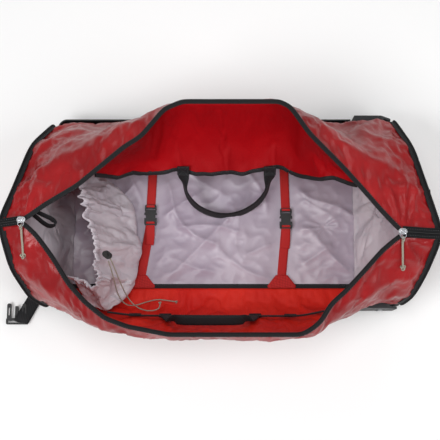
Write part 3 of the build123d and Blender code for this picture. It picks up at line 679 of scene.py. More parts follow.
def build_side(name, stations, side, node):
    """One side panel: its CAD shape, creases where it is pulled, ridges, and then cloth."""
    points = panel_points(stations, side)
    obj = grid_object(name, points, [SHELL, INNER])
    if obj.data.polygons[len(obj.data.polygons) // 2].normal.y * side < 0:
        obj.data.flip_normals()
    rows, columns = points.shape[:2]
    share = np.linspace(0, 1, columns)
    mask = np.outer(np.ones(rows), np.minimum(1, np.minimum(share, 1 - share) * 9))
    ends = np.minimum(1, np.minimum(np.arange(rows), np.arange(rows)[::-1]) / 8)
    mask = (mask * ends[:, None]).ravel()
    flat = points.reshape(-1, 3)
    lift = sum(radial_creases(flat, *pull, phase + side) for *pull, phase in PULLS)
    for corner in (-0.40, 0.40):
        lift += radial_creases(flat, (corner, side * 0.18, 0.10), 5.4, 0.11, 0.009, 2.7 * corner)
    below_lip = np.arange(columns)[::-1] * 0.005
    along = np.arange(rows) * SECTION_STEP
    gather = np.sin(along * 330 + 2.4 * np.sin(along * 41 + side))
    lift += 0.0016 * np.outer(gather, np.exp(-below_lip / 0.022)).ravel()
    normals = np.array([vertex.vector for vertex in obj.data.vertex_normals])
    set_points(obj.data, flat + normals * (lift * mask)[:, None])
    wrinkle(obj, 0.0060, 12, (0.8, 1.4, 1.0), 3.1 + side, mask)
    wrinkle(obj, 0.0030, 31, (1.5, 0.7, 1.0), 8.7 + side, mask)
    crumple(obj, border(rows, columns), 0.026, cap=0.009, bend=0.6)
    solidify(obj, FABRIC, -1, 1)
    finish_piece(obj, [node])


build_side("shell_far", FAR, 1, "side_panel_far")
build_side("shell_near", NEAR, -1, "side_panel_near")


def patch(name, outline, materials, rings=20, count=110, puff=None):
    """A sheet that fills a closed outline, as rings that shrink to its middle."""
    closed = np.vstack([outline, outline[:1]])
    edge = resample(closed, count + 1)[:-1]
    middle = edge.mean(axis=0)
    shares = np.linspace(1, 0.02, rings)
    points = middle + (edge[:, None] - middle) * shares[None, :, None]
    if puff is not None:
        points = points + puff * (1 - shares[None, :, None] ** 2.2)
    obj = grid_object(name, points, materials, closed=True)
    mesh = bmesh.new()
    mesh.from_mesh(obj.data)
    mesh.verts.ensure_lookup_table()
    mesh.faces.new([mesh.verts[i * rings + rings - 1] for i in range(count)])
    bmesh.ops.recalc_face_normals(mesh, faces=mesh.faces)
    layer = mesh.loops.layers.uv.verify()
    for face in mesh.faces:
        for loop in face.loops:
            loop[layer].uv = (loop.vert.co.y, loop.vert.co.z + loop.vert.co.x * 0.3)
    mesh.to_mesh(obj.data)
    mesh.free()
    ring = np.arange(count) * rings
    return obj, np.concatenate([ring, ring + 1])


def end_face_x(end, z, out=0.0):
    """x of an end panel's leaning plane at a height, moved outward by a distance."""
    return end * (END_FOOT_X + END_LEAN * (z - END_FOOT_Z) + out)


def end_outline(end):
    """The outline of an end panel, in metres, on its leaning plane."""
    far, near = (sections(stations, side, np.array([end * END_X]))[0, 1:]
                 for stations, side in ((FAR, 1), (NEAR, -1)))
    even = resample(np.vstack([far, near[::-1], far[:1]]), 181)[:-1]
    shifts = np.arange(-9, 10)
    bell = np.exp(-0.5 * (shifts / 3.2) ** 2)
    bell /= bell.sum()
    rounded = sum(weight * np.roll(even, shift, axis=0) for shift, weight in zip(shifts, bell))
    return np.column_stack([end_face_x(end, rounded[:, 1]), rounded])


def build_ends():
    for end, name, area in ((-1, "head", 0.062), (1, "wheel", 0.048)):
        outline = end_outline(end)
        sheet, held = patch("end_cloth_" + name, outline, [SHELL, INNER], puff=ALONG * end * 0.009)
        if sheet.data.polygons[40].normal.x * end < 0:
            sheet.data.flip_normals()
        mask = np.ones(len(sheet.data.vertices))
        mask[held] = 0
        wrinkle(sheet, 0.004, 16, (1, 1, 1), 5.0 + end, mask)
        crumple(sheet, held, 0.015, cap=0.006, bend=1.0)
        solidify(sheet, FABRIC, -1, 1)
        finish_piece(sheet, ["end_panel_" + name])
        away = unit(outline - outline.mean(axis=0))
        seam_normal = unit((end, 0, -END_LEAN))
        finish_piece(tube("piping_" + name, outline + ALONG * end * 0.0030, 0.0034, BLACK_TAPE,
                          True, 12), ["end_piping_" + name])
        finish_piece(ribbon("piping_tape_" + name, outline + ALONG * end * 0.0012, away,
                            0.014, 0.0012, BLACK_TAPE, True))
        finish_piece(ribbon("piping_binding_" + name,
                            outline + away * 0.0016 - seam_normal * 0.0035, seam_normal,
                            0.0115, 0.0020, BLACK_TAPE, True, 0.0008))


build_ends()


# ---------------------------------------------------------------- zips
def stitches(name, line, up, material, pitch=0.0045, length=0.0030, width=0.0007):
    """A row of short raised threads along a line."""
    line = np.asarray(line, dtype=float)
    total = np.linalg.norm(np.diff(line, axis=0), axis=1).sum()
    points = resample(line, max(3, int(total / pitch)))
    along = tangents(points)
    up = np.broadcast_to(np.asarray(up, dtype=float), points.shape)
    side = unit(np.cross(up, along))
    vertices, faces = [], []
    for p, a, s, u in zip(points, along, side, up):
        start = len(vertices)
        ends = (p - a * length / 2, p + a * length / 2)
        vertices += [ends[0], ends[1], p + s * width / 2, p - s * width / 2,
                     p + u * width * 0.9, p - u * width * 0.5]
        for first, second in ((2, 4), (4, 3), (3, 5), (5, 2)):
            faces.append((start, start + second, start + first))
            faces.append((start + 1, start + first, start + second))
    return make_mesh(name, vertices, faces, [material])


# The sliders' places, between which the mouth is open.
MOUTH_X = (-0.386, 0.353)


def coil_along(name, line, count, radius, sides):
    """A zip's coil: a tube whose radius swells at each tooth."""
    teeth = radius + 0.0004 * np.sin(np.arange(count) * 1.9)
    coil = tube(name + "_coil", resample(line, count), teeth, BUCKLE, sides=sides)
    finish_piece(coil)


def zip_side(name, stations, side, node):
    """Woven tape, coil and stitching along one lip of the open mouth."""
    lip = lip_line(stations, side, *MOUTH_X)
    inward = unit(np.cross(tangents(lip), UP * side))
    inward = unit(inward - UP * 0.15)
    middle = lip + inward * 0.0028 + UP * 0.0016
    finish_piece(ribbon(name + "_tape", middle, inward, 0.0086, 0.0016, ZIP_TAPE, crown=0.0005),
                 [node])
    coil_along(name, lip + inward * 0.0066 + UP * 0.0008, 1500, 0.0014, 6)
    seam = middle - inward * 0.0034 + UP * 0.0012
    finish_piece(stitches(name + "_stitch", seam, UP, STITCH))


zip_side("zip_far", FAR, 1, "zip_tape_far")
zip_side("zip_near", NEAR, -1, "zip_tape_near")


def closed_zip(name, line, width, replaced):
    """The closed run of a zip beyond its slider, with coil, tapes and edge piping."""
    line = resample(line, 60)
    band = ribbon(name + "_band", line, (0, 1, 0), width, 0.0014, ZIP_TAPE, crown=0.0012)
    finish_piece(band, replaced)
    coil_along(name, line + UP * 0.0022, 220, 0.0018, 8)
    for side, label in ((1, "far"), (-1, "near")):
        out = np.array((0, side * width, 0))
        cord = tube(name + "_piping_" + label, line + out / 2 + UP * 0.0006, 0.0015, ZIP_TAPE)
        finish_piece(cord)
        seam = stitches(name + "_stitch_" + label, line + out / 3 + UP * 0.0022, UP, STITCH)
        finish_piece(seam)


closed_zip("closed_zip_head", [(-0.4325, -0.064, 0.2945), (-0.420, -0.063, 0.299),
                               (-0.405, -0.062, 0.304), (-0.388, -0.060, 0.309)],
           0.0145, ["closed_zip_ends"])
closed_zip("closed_zip_wheel", [(0.4325, -0.085, 0.2935), (0.405, -0.085, 0.300),
                                (0.378, -0.084, 0.306), (0.356, -0.083, 0.309)], 0.019, [])

# ---------------------------------------------------------------- far flap
# x, edge y and edge z of the hanging flap, in millimetres.
FLAP = np.array([
    (-250, 42, 270), (-236, 45, 236), (-220, 50, 200), (-200, 61, 168), (-160, 70, 153),
    (-112, 74, 152), (-60, 70, 150), (0, 68, 151), (45, 68, 149), (75, 77, 150), (120, 82, 150),
    (144, 80, 151), (167, 65, 165), (190, 48, 195), (213, 39, 230), (250, 28, 262), (272, 19, 282),
]) * MM


def build_flap():
    """The inner flap that hangs from the far lip, with its binding."""
    columns, rows = 190, 34
    xs = np.linspace(FLAP[0, 0], FLAP[-1, 0], columns)
    edge = np.column_stack([xs] + [np.interp(xs, FLAP[:, 0], FLAP[:, k]) for k in (1, 2)])
    edge = smooth_rows(edge, 4)
    lip_xs, shapes = smooth_sections(FAR, 1)
    top = np.column_stack([xs, np.interp(xs, lip_xs, shapes[:, -1, 0]) - 0.006,
                           np.interp(xs, lip_xs, shapes[:, -1, 1]) - 0.005])
    sag = np.array((0, 0.016, -0.010))
    share = np.linspace(0, 1, rows)
    down = share[:, None]
    points = top[:, None] * (1 - down) + edge[:, None] * down + sag * np.sin(np.pi * down)
    waves = 0.0045 * np.sin(xs * 62 + 1.2) + 0.003 * np.sin(xs * 121 + 0.4)
    points[:, :, 2] += np.outer(waves, share ** 2)
    points[:, :, 1] += np.outer(0.6 * np.roll(waves, 7), share ** 2)
    obj = grid_object("flap_cloth", points, [FLAP_MATERIAL])
    mask = np.broadcast_to(np.sin(np.pi * np.clip(share, 0, 0.5)), (columns, rows))
    wrinkle(obj, 0.005, 14, (1.0, 0.6, 0.6), 2.2, mask.ravel())
    index = np.arange(columns * rows).reshape(columns, rows)
    pinned = np.concatenate([index[:, 0], index[0], index[-1], index[::12, -1]])
    crumple(obj, pinned, 0.02, cap=0.010, bend=0.6, gravity=0.05)
    settled = get_points(obj.data).reshape(columns, rows, 3)
    solidify(obj, 0.0012, 0)
    finish_piece(obj, ["far_flap"])
    lower = settled[:, -1]
    fall = unit(lower - settled[:, -3])
    trim = ribbon("flap_binding", lower, fall, 0.009, 0.0028, BLACK_TAPE)
    finish_piece(trim, ["far_flap_binding"])
    row = stitches("flap_binding_stitch", lower - fall * 0.0032 + np.array((0, -0.0014, 0.0012)),
                   (0, -0.5, 0.8), STITCH)
    finish_piece(row)


build_flap()

# ---------------------------------------------------------------- floor liner and end linings
STRAPS = (
    ((-0.152, 0.112), (-0.156, 0.004), (-0.176, -0.142)),
    ((0.145, 0.112), (0.148, -0.004), (0.137, -0.142)),
)
# Long soft folds in the liner: start x and y, end x and y, height, width.
FOLDS = (
    (-130, 60, -20, -70, 6, 13), (-20, -70, 120, -150, 5, 14), (-110, -140, 10, -20, 6, 15),
    (10, -20, 120, 60, 5, 12), (-120, 0, -60, 40, 4, 10), (40, -110, 128, -60, 5, 12),
    (30, 20, 60, -100, 4, 11), (-90, -90, -30, -140, 5, 12), (175, 90, 280, -20, 7, 15),
    (175, -40, 285, -120, 7, 16), (180, -120, 260, -60, 5, 12), (200, 40, 250, -40, 5, 11),
    (-320, 70, -240, 0, 6, 14), (-300, -40, -200, 60, 6, 14), (-210, 100, -180, 20, 5, 10),
    (-80, -20, 40, -40, 4, 12), (-60, 110, 0, 30, 4, 12), (60, 110, 100, 10, 4, 12),
)
# Where the liner is caught down and puckers, in metres.
LINER_PUCKER = (0.232, -0.028)
LINER_Z = 0.0402
LINING_THICKNESS = 0.001


def to_segment(points, start, end):
    """Distance of each (x, y) point from a segment."""
    start, end = np.array(start), np.array(end)
    run = end - start
    share = np.clip(((points - start) @ run) / (run @ run), 0, 1)
    return np.linalg.norm(points - start - share[..., None] * run, axis=-1)


def liner_height(points):
    """The liner's height at (x, y) points: folds between the straps, flat under them."""
    near_strap = np.min([to_segment(points, a, b) for strap in STRAPS
                         for a, b in zip(strap, strap[1:])], axis=0)
    free = ease((near_strap - 0.011) / 0.035)
    lift = np.zeros(points.shape[:-1])
    for x1, y1, x2, y2, height, width in FOLDS:
        bend = 0.009 * np.sin(points[..., 0] * 31 + y1) + 0.008 * np.sin(points[..., 1] * 39 + x1)
        away = to_segment(points + bend[..., None], (x1 * MM, y1 * MM), (x2 * MM, y2 * MM))
        lift += 1.25 * height * MM * np.exp(-(away / (0.85 * width * MM)) ** 1.15)
    burst = points - np.array(LINER_PUCKER)
    turn = np.arctan2(burst[..., 1], burst[..., 0])
    reach = np.hypot(burst[..., 0], burst[..., 1])
    rays = 1 - np.abs(np.sin(3.5 * turn + 1.1 * np.sin(2 * turn) + 14 * reach))
    uneven = 0.55 + 0.45 * np.sin(2.0 * turn + 0.8)
    lift += 0.006 * uneven * rays * np.exp(-reach / 0.05) * np.clip(reach / 0.012, 0, 1)
    rough = np.array([
        1.2 * (0.42 - abs(noise.noise(Vector((x * 15, y * 19, 4.2)))))
        + 0.6 * (0.42 - abs(noise.noise(Vector((x * 34, y * 41, 7.9)))))
        for x, y in points.reshape(-1, 2)
    ]).reshape(lift.shape)
    edge = np.clip((0.165 - np.abs(points[..., 1])) / 0.03, 0, 1)
    return LINER_Z + free * (0.45 + 0.55 * edge) * np.maximum(0, lift + 0.0055 * rough)


def build_liner():
    """The floor's liner, with the black binding along its near edge."""
    xs, ys = np.linspace(-0.336, 0.308, 230), np.linspace(-0.166, 0.172, 126)
    grid = np.stack(np.meshgrid(xs, ys, indexing="ij"), axis=-1)
    points = np.concatenate([grid, liner_height(grid)[..., None]], axis=-1)
    obj = grid_object("floor_cloth", points, [LINING])
    solidify(obj, LINING_THICKNESS, -1)
    finish_piece(obj, ["floor_liner"])
    edge = smooth_rows(points[:, 1], 3) + UP * 0.0012
    trim = ribbon("floor_binding", edge, (0, 1, 0), 0.0115, 0.0024, BLACK_TAPE)
    finish_piece(trim)
    row = stitches("floor_binding_stitch", edge + np.array((0, 0.003, 0.0016)), UP, STITCH)
    finish_piece(row)


build_liner()

# Outlines (y, z) of the linings that stand at the two ends, in millimetres.
END_LININGS = {
    "head": (-1, -0.326, [
        (160, 44), (182, 74), (108, 120), (50, 190), (-6, 244), (-50, 280), (-84, 272),
        (-132, 228), (-166, 170), (-182, 100), (-176, 70), (-160, 44)]),
    "wheel": (1, 0.298, [
        (160, 44), (160, 103), (112, 126), (40, 194), (-14, 240), (-62, 280), (-92, 274),
        (-130, 228), (-160, 172), (-172, 112), (-160, 103), (-160, 44)]),
}
LINING_LEAN = 0.42


def build_end_linings():
    for name, (end, foot, outline) in END_LININGS.items():
        flat = np.array(outline) * MM
        x = foot + end * LINING_LEAN * (flat[:, 1] - 0.044)
        edge = np.column_stack([x, flat])
        obj, held = patch("end_lining_cloth_" + name, edge, [POCKET], rings=34, count=170)
        mask = np.ones(len(obj.data.vertices))
        mask[held] = 0.4
        wrinkle(obj, 0.013, 9, (1, 1.3, 0.45), 6.0 + end, mask)
        wrinkle(obj, 0.005, 24, (1, 1.2, 0.5), 1.0 + end, mask)
        crumple(obj, held, 0.03, cap=0.012, bend=0.5)
        solidify(obj, LINING_THICKNESS, 0)
        finish_piece(obj, ["end_lining_" + name])


build_end_linings()

# ---------------------------------------------------------------- divider pocket
# Foot x and y, belly x, y and z, hem x, y and z, in millimetres, from far to near.
POCKET_STATIONS = np.array([
    (-268, 74, -282, 74, 118, -318, 74, 214), (-240, 55, -248, 55, 102, -300, 55, 205),
    (-214, 34, -212, 34, 88, -297, 34, 206), (-197, -30, -188, -30, 86, -276, -30, 205),
    (-193, -86, -182, -86, 86, -260, -86, 200), (-195, -130, -184, -130, 86, -256, -130, 196),
    (-202, -158, -192, -160, 88, -256, -158, 192), (-212, -184, -203, -190, 96, -258, -176, 190),
    (-228, -204, -221, -216, 104, -264, -184, 190),
    (-246, -212, -244, -224, 108, -274, -180, 190),
    (-268, -214, -270, -224, 112, -286, -168, 191),
    (-292, -206, -296, -212, 120, -306, -158, 193),
]) * MM


def pocket_profile(station, floor_z):
    """One line of the pocket cloth, from its foot over its belly to its hem."""
    foot = np.array((*station[:2], floor_z))
    belly, hem = station[2:5], station[5:8]
    low = (foot + belly) / 2 + ALONG * 0.006
    high = belly * 0.55 + hem * 0.45 + ALONG * 0.003
    return [foot, low, belly, high, hem]


def lie_behind_cords(points):
    """Presses cloth points back, so that the drawcords lie on the cloth and not in it."""
    for name in ("draw_cord_long", "draw_cord_short"):
        line = resample(np.array(CORDS[name][0]), 120)
        away = np.linalg.norm(points[:, :, None, 1:] - line[None, None, :, 1:], axis=-1)
        nearest = away.argmin(axis=-1)
        gap = away.min(axis=-1)
        limit = line[nearest, 0] - 0.0040 + 1.1 * np.maximum(0, gap - 0.003)
        points[:, :, 0] = np.minimum(points[:, :, 0], limit)
    return points


def build_pocket():
    """The gathered divider pocket, with its hem channel."""
    columns, rows = 190, 56
    hem_run = np.linalg.norm(np.diff(POCKET_STATIONS[:, 5:8], axis=0), axis=1)
    foot_run = np.linalg.norm(np.diff(POCKET_STATIONS[:, :2], axis=0), axis=1)
    place = running_length(hem_run + foot_run)
    spread = np.linspace(0, place[-1], columns)
    table = np.stack([np.interp(spread, place, POCKET_STATIONS[:, k]) for k in range(8)], axis=1)
    table = smooth_rows(table, 4)
    foot_y = table[:, 1]
    floor_z = 0.0435 + np.clip((-foot_y - 0.160) / 0.055, 0, 1) * 0.050
    floor_z += np.clip((foot_y - 0.060) / 0.02, 0, 1) * 0.03
    points = np.stack([smooth_rows(resample(pocket_profile(row, level), rows), 3)
                       for row, level in zip(table, floor_z)])
    ys = table[:, 6] - 0.5 * (table[:, 5] - table[-1, 5]) * (spread > place[6])
    share = np.linspace(0, 1, rows)
    gather = (0.35 + 0.65 * share ** 2) * np.sin(np.pi * np.clip(share * 1.2, 0, 0.5)) ** 0.5
    phase = ys * 210 + 2.8 * np.sin(ys * 47 + 0.8) + 1.6 * np.sin(ys * 113)
    swell = 0.6 + 0.4 * np.sin(ys * 39 + 2.0)
    ruffle = (0.0068 * np.sin(phase) * swell)[:, None] * gather ** 2.5
    slow = 0.008 * np.sin(ys * 71 + 1.1)[:, None] * np.sin(np.pi * share) ** 0.7
    points[:, :, 0] += ruffle + slow
    points[:, :, 1] += 0.4 * np.roll(ruffle, 5, axis=0)
    points[:, :, 2] += 0.5 * np.roll(ruffle, 9, axis=0)
    obj = grid_object("pocket_cloth", lie_behind_cords(points), [POCKET])
    mask = np.broadcast_to(np.sin(np.pi * share) ** 0.6, (columns, rows)).ravel()
    wrinkle(obj, 0.012, 11, (1.0, 1.6, 0.5), 4.4, mask)
    wrinkle(obj, 0.005, 27, (1.0, 1.3, 0.6), 9.1, mask)
    index = np.arange(columns * rows).reshape(columns, rows)
    crumple(obj, np.concatenate([index[:, 0], index[0], index[-1], index[:, -1]]), 0.06,
            cap=0.014, bend=0.25, gravity=0.05)
    settled = lie_behind_cords(get_points(obj.data).reshape(columns, rows, 3))
    set_points(obj.data, settled)
    solidify(obj, LINING_THICKNESS, 0)
    finish_piece(obj, ["divider_pocket"])

    top = settled[:, -1]
    fall = unit(settled[:, -4] - top)
    out = unit(np.cross(tangents(top), fall))
    frill = 0.0024 * np.sin(ys * 620 + 2.6 * np.sin(ys * 95))[:, None]
    rings = np.stack([
        top + fall * (0.006 + 0.0085 * math.cos(a)) + out * (0.0030 * math.sin(a) + frill)
        for a in np.linspace(0, 2 * math.pi, 12)
    ], axis=1)
    hem = grid_object("pocket_hem_band", rings, [POCKET])
    smooth = hem.modifiers.new("smooth", "SUBSURF")
    smooth.levels = smooth.render_levels = 1
    finish_piece(hem, ["pocket_hem"])
    row = stitches("pocket_hem_stitch", smooth_rows(top + fall * 0.0125 + out * 0.0034, 1.5),
                   (0.9, 0, 0.3), STITCH, 0.004, 0.0026, 0.0006)
    finish_piece(row)


build_pocket()

# ---------------------------------------------------------------- straps and anchor patches
STRAP_WIDTH = 0.020
STRAP_THICKNESS = 0.0017


def strap_run(name, start, end, start_lift, node):
    """One run of strap over the liner, from (x, y) to (x, y)."""
    flat = resample([start, end], 40)
    height = liner_height(flat) + 0.0018
    height += np.interp(np.linspace(0, 1, len(flat)), (0, 0.12), (start_lift, 0))
    line = np.column_stack([flat, height])
    strap = ribbon(name, line, ALONG, STRAP_WIDTH, STRAP_THICKNESS, RED_WEB)
    finish_piece(strap, node)
    for side, label in ((-1, "near"), (1, "far")):
        edge = line + ALONG * side * STRAP_WIDTH * 0.40 + UP * STRAP_THICKNESS * 0.55
        row = stitches(f"{name}_edge_{label}", edge, UP, STITCH_RED, 0.003, 0.0022, 0.0005)
        finish_piece(row)


def rectangle(half_width, low, high):
    """Corners of a rectangle, as (across, along) pairs."""
    return np.array(((-half_width, low), (half_width, low), (half_width, high),
                     (-half_width, high)))


def box_stitch(name, corners, up, material):
    """A sewn box with a cross, through four corner points."""
    for number, (i, j) in enumerate(((0, 1), (1, 2), (2, 3), (3, 0), (0, 2), (1, 3))):
        start, end = corners[i], corners[j]
        row = stitches(f"{name}_{number}", [start, (start + end) / 2, end], up, material,
                       0.0026, 0.0019, 0.0005)
        finish_piece(row)


def over_liner(flat, gap):
    """Points (x, y) as points in space, a gap above the liner."""
    return np.column_stack([flat, liner_height(flat) + gap])


# The strap's loose tail below its buckle: x and y from the strap's end, and z.
STRAP_TAIL = ((0, -0.001, 0.0475), (0, -0.007, 0.0505), (0, -0.016, 0.0485), (0, -0.030, 0.0452),
              (-0.002, -0.050, 0.0442))
# Webbing round the buckle's two bars: y from the buckle's middle, and z. The upper one rides
# on the plug.
STRAP_WRAPS = {"upper": (0.0125, 0.0500), "lower": (-0.0250, 0.0520)}


def build_straps():
    for (far, middle, near), label in zip(STRAPS, ("left", "right")):
        first = label == "left"
        bottom = np.array((middle[0], middle[1] - 0.024))
        strap_run("strap_upper_" + label, far, (middle[0], middle[1] + 0.009), 0,
                  ["compression_straps_upper"] if first else [])
        strap_run("strap_lower_" + label, bottom, near, 0.0035,
                  ["compression_straps_lower"] if first else [])
        loop = np.array(STRAP_TAIL) + (*bottom, 0)
        tail = ribbon("strap_tail_" + label, smooth_rows(resample(loop, 30), 2), ALONG,
                      STRAP_WIDTH * 0.96, STRAP_THICKNESS, RED_WEB)
        finish_piece(tail)
        for wrap, (offset, level) in STRAP_WRAPS.items():
            line = [(middle[0], middle[1] + offset + along, level + rise)
                    for along, rise in ((-0.0022, 0), (0, 0.0006), (0.0022, 0))]
            strip = ribbon(f"strap_wrap_{wrap}_{label}", line, ALONG, STRAP_WIDTH * 0.92,
                           STRAP_THICKNESS, RED_WEB)
            finish_piece(strip, body="plug_" + label if wrap == "upper" else "bag")
        outline = near + np.array(((-0.013, 0.004), (0.013, 0.004), (0.032, -0.020),
                                   (0.030, -0.0245), (-0.030, -0.0245), (-0.032, -0.020)))
        edge = resample(np.vstack([outline, outline[:1]]), 97)[:-1]
        patch_sheet, _ = patch("strap_patch_" + label, over_liner(edge, 0.0040), [RED_WEB],
                               rings=8, count=96)
        solidify(patch_sheet, 0.0016, 0)
        finish_piece(patch_sheet, ["strap_anchor_patches"] if first else [])
        inner = near + np.array(((-0.011, 0), (0.011, 0), (0.026, -0.021), (-0.026, -0.021)))
        box_stitch("strap_patch_stitch_" + label, over_liner(inner, 0.0053), UP, STITCH_RED)
        box_stitch("strap_anchor_stitch_" + label,
                   over_liner(far + rectangle(0.010, 0.002, -0.014), 0.0030), UP, STITCH_RED)


build_straps()

# ---------------------------------------------------------------- handles
WEBBING = 0.025
# Direction up the near panel, along the seam tape's width.
NEAR_SLOPE = (0, -0.372, 0.928)


def tab(name, middle, direction, reach, width, thickness, material):
    """A short sewn strip, centred on a point."""
    line = [middle - direction * reach[0], middle, middle + direction * reach[1]]
    finish_piece(ribbon(name, line, ALONG, width, thickness, material))


def build_far_handle():
    """The long handle that hangs from the flap, flat where it is sewn and on edge below."""
    hinge = np.array((0.014, 0.072, 0.146))
    drop = unit((0, -81.0, -94.0))
    out = np.cross(ALONG, drop)
    path = [(93, 1), (93, 12), (92, 26), (89, 46), (82, 66), (70, 86), (52, 102), (30, 114),
            (4, 119.5), (-20, 116), (-44, 106), (-66, 90), (-81, 69), (-89, 48), (-92, 26),
            (-93, 12), (-93, 1)]
    flat = smooth_rows(resample(np.array(path) * MM, 140), 3)
    sway = 0.004 * np.sin(np.linspace(0, 7, 140))
    line = hinge + flat[:, :1] * ALONG + flat[:, 1:] * drop + sway[:, None] * out
    turn = ease((flat[:, 1:] - 0.008) / 0.026)
    along = tangents(line)
    upright = np.array((0, 0.28, 0.96))
    on_edge = unit(upright - (along @ upright)[:, None] * along)
    sewn = unit(ALONG - along[:, :1] * along)
    across = unit(sewn * np.sign(flat[:, :1]) * -1 * (1 - turn) + on_edge * turn)
    across = smooth_rows(across, 4)
    strap = ribbon("handle_far_webbing", line, across, WEBBING, 0.0026, BLACK_WEB)
    finish_piece(strap, ["handle_far"], "handle_far")
    for end, side in ((-1, "head"), (1, "wheel")):
        middle = hinge + ALONG * end * 0.093 - drop * 0.006 - out * 0.0024
        tab("handle_far_tab_" + side, middle, drop, (0.012, 0.010), WEBBING * 1.05, 0.0030,
            BLACK_WEB)
        corners = [middle + ALONG * dx + drop * dz - out * 0.0022
                   for dx, dz in rectangle(0.010, -0.011, 0.009)]
        box_stitch("handle_far_stitch_" + side, corners, -out, STITCH)


def build_near_handle():
    """The near handle, flat where it is sewn and folded over along its grip."""
    hinge = np.array((-0.021, -0.237, 0.124))
    rise = unit(NEAR_SLOPE)
    off = np.cross(rise, ALONG)
    path = [(-95, -2), (-93, 4), (-89, 16), (-80, 36), (-69, 51), (-54, 56), (0, 57.5), (54, 56),
            (69, 51), (80, 36), (89, 16), (93, 4), (95, -2)]
    flat = smooth_rows(resample(np.array(path) * MM, 110), 2.2)
    turn = ease((flat[:, 1:] - 0.030) / 0.022)
    line = hinge + flat[:, :1] * ALONG + flat[:, 1:] * rise
    line = line + off * (0.0035 + 0.0085 * turn)
    across = unit(np.cross(tangents(line), off) * (1 - turn) + off * turn)
    strap = ribbon("handle_near_webbing", line, across, 0.021, 0.003, BLACK_WEB)
    finish_piece(strap, ["handle_near"], "handle_near")
    for side, place in (("head", 34), ("wheel", 75)):
        seam_line = [line[place] + across[place] * step + off * 0.002
                     for step in (-0.009, 0, 0.009)]
        seam = stitches("handle_near_grip_seam_" + side, seam_line, off, STITCH, 0.003, 0.002)
        finish_piece(seam, body="handle_near")
    for end, side in ((-1, "head"), (1, "wheel")):
        middle = hinge + ALONG * end * 0.096 - rise * 0.012 + off * 0.0005
        tab("handle_near_tab_" + side, middle, rise, (0.010, 0.010), 0.026, 0.0028, BLACK_WEB)


def build_seam_tape():
    line = np.array([(-240, -225, 116), (-182, -232.5, 117), (0, -233.5, 117),
                     (170, -233.5, 117), (222, -223, 117)]) * MM
    line = smooth_rows(resample(line, 120), 3)
    tape = ribbon("near_seam_cover", line, NEAR_SLOPE, 0.010, 0.0016, BLACK_TAPE)
    finish_piece(tape, ["near_seam_tape"])
    row = stitches("near_seam_stitch", line + np.array((0, 0.0016, 0.001)), (0, 0.9, 0.4), STITCH)
    finish_piece(row)
    for name, middle in (("head", -0.181), ("wheel", 0.150)):
        y, z = (np.interp(middle, line[:, 0], line[:, k]) for k in (1, 2))
        piece = ribbon("near_seam_tab_" + name,
                       [(middle + along, y + out, z) for along, out in
                        ((-0.013, 0.0014), (0, 0.0016), (0.013, 0.0014))],
                       NEAR_SLOPE, 0.016, 0.0018, BLACK_TAPE)
        finish_piece(piece)


def build_end_handles():
    steps = [(-0.012, 0.001), (0.002, 0.001), (0.012, 0.004), (0.020, 0.011), (0.034, 0.0145),
             (0.052, 0.015)]
    for end, y, bottom, top, side in ((-1, -0.122, 0.118, 0.222, "head"),
                                      (1, 0.0, 0.122, 0.226, "wheel")):
        points = [(bottom + along, out) for along, out in steps]
        points += [(top - along, out) for along, out in reversed(steps)]
        flat = smooth_rows(resample(points, 90), 2.4)
        x = end_face_x(end, flat[:, 0], 0.009 + flat[:, 1])
        line = np.column_stack([x, np.full(90, y), flat[:, 0]])
        strap = ribbon("grab_handle_" + side, line, (0, 1, 0), 0.032, 0.0034, BLACK_WEB)
        finish_piece(strap, ["end_grab_handles"] if end < 0 else [])
        grip = ribbon("grab_handle_sleeve_" + side, line[24:66], (0, 1, 0), 0.0365, 0.0060,
                      BLACK_TAPE, crown=0.0012)
        finish_piece(grip)
        for height, place in ((bottom, "low"), (top, "high")):
            corners = [np.array((end_face_x(end, height + dz, 0.0125), y + dy, height + dz))
                       for dy, dz in rectangle(0.012, -0.009, 0.009)]
            box_stitch(f"grab_handle_stitch_{side}_{place}", corners, (end, 0, -END_LEAN), STITCH)


def build_side_strap():
    path = np.array([(-389, -134, 3.6), (-401, -155, 3.5), (-416, -181, 3.5), (-431, -209, 3.5),
                     (-443, -232, 3.6), (-447, -240.5, 5.0), (-448, -242, 8.5),
                     (-447, -239, 12.0), (-442, -230, 12.5), (-434, -215, 9.5),
                     (-422, -193, 6.8), (-409, -170, 5.8)]) * MM
    line = smooth_rows(resample(path, 120), 2.0)
    share = np.linspace(0, 1, 120)[:, None]
    turn = np.clip(1 - np.abs(share - 0.5) / 0.22, 0, 1)
    across = unit(np.array((0.84, -0.54, 0.0)) * (1 - turn) + ALONG * turn)
    strap = ribbon("side_strap_webbing", line, across, 0.031, 0.0018, BLACK_WEB)
    finish_piece(strap, ["side_strap"], "side_strap")


def build_hang_loop():
    line = np.array([(-384, -36, 279), (-370, -44, 272), (-356, -56, 262), (-345, -63, 255),
                     (-336, -63, 251), (-330, -57, 253), (-335, -50, 261), (-350, -44, 268),
                     (-372, -34, 276)]) * MM
    line = smooth_rows(resample(line, 70), 2.5)
    loop = ribbon("hang_loop", line, (0.35, 0.55, 0.75), 0.011, 0.0024, BLACK_WEB)
    finish_piece(loop)


for build in (build_far_handle, build_near_handle, build_seam_tape, build_end_handles,
              build_side_strap, build_hang_loop):
    build()

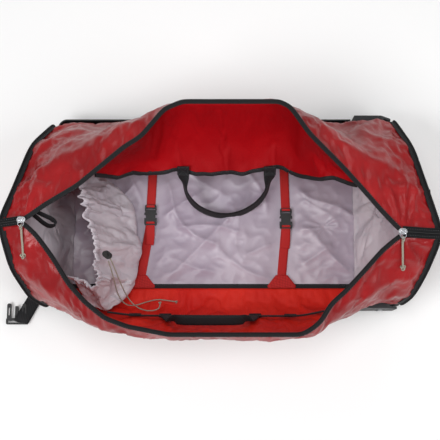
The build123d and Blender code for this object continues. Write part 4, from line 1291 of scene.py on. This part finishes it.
# ---------------------------------------------------------------- hardware details
for node in ("strap_buckle_sockets", "strap_buckle_plug_left", "strap_buckle_plug_right",
             "side_strap_buckle", "zip_sliders", "zip_puller_head", "zip_puller_wheel",
             "cord_lock_body", "cord_lock_button", "trolley_grip", "trolley_bezel"):
    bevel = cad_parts[node].modifiers.new("edges", "BEVEL")
    bevel.width = 0.0005
    bevel.segments = 2
    bevel.limit_method = "ANGLE"
    bevel.harden_normals = False


def cord_loop(name, ring_centre, body):
    """The doubled cord that goes through a puller's ring."""
    x, y, z = ring_centre
    turn = np.linspace(0, 2 * math.pi, 40, endpoint=False)
    line = np.column_stack([x + 0.0016 * np.sin(turn), y - 0.0044 * np.cos(turn),
                            z + 0.0032 * np.sin(turn + 1.1)])
    finish_piece(tube(name, line, 0.0015, BRAID, True, 8), body=body)


cord_loop("pull_loop_head", (-0.387, -0.0745, 0.3135), "puller_head")
cord_loop("pull_loop_wheel", (0.355, -0.0975, 0.3135), "puller_wheel")

# ---------------------------------------------------------------- floor and light
def build_stage():
    nodes = Nodes("studio_paper", (0.92, 0.92, 0.92), 0.9)
    nodes.bump(nodes.noise(nodes.coordinates(), 40, 2), 0.0003, 0.1)
    corners = np.column_stack([rectangle(6, -6, 6), np.full(4, -0.0005)])
    make_mesh("studio_floor", corners, [(0, 1, 2, 3)], [nodes.material])


LIGHT_TARGET = Vector((0, 0, 0.1))
WORLD_STRENGTH = 0.24
# Name, place, size and power of each area light.
LIGHTS = (
    ("key", (-1.3, -1.0, 2.3), (1.3, 1.0), 38), ("fill", (1.7, -0.6, 2.0), (1.6, 1.2), 24),
    ("back", (0.2, 2.0, 1.8), (1.8, 0.7), 10), ("top", (-0.1, -0.1, 2.7), (0.9, 0.9), 18),
)


def area_light(name, place, size, power):
    data = bpy.data.lights.new(name, "AREA")
    data.shape = "RECTANGLE"
    data.size, data.size_y = size
    data.energy = power
    light = bpy.data.objects.new(name, data)
    scene.collection.objects.link(light)
    light.location = place
    away = Vector(place) - LIGHT_TARGET
    light.rotation_euler = away.to_track_quat("Z", "Y").to_euler()


def build_light():
    world = bpy.data.worlds.new("studio")
    world.use_nodes = True
    background = world.node_tree.nodes["Background"]
    background.inputs["Color"].default_value = (1, 1, 1, 1)
    background.inputs["Strength"].default_value = WORLD_STRENGTH
    scene.world = world
    for light in LIGHTS:
        area_light(*light)
    scene.view_settings.view_transform = "Standard"


build_stage()
build_light()
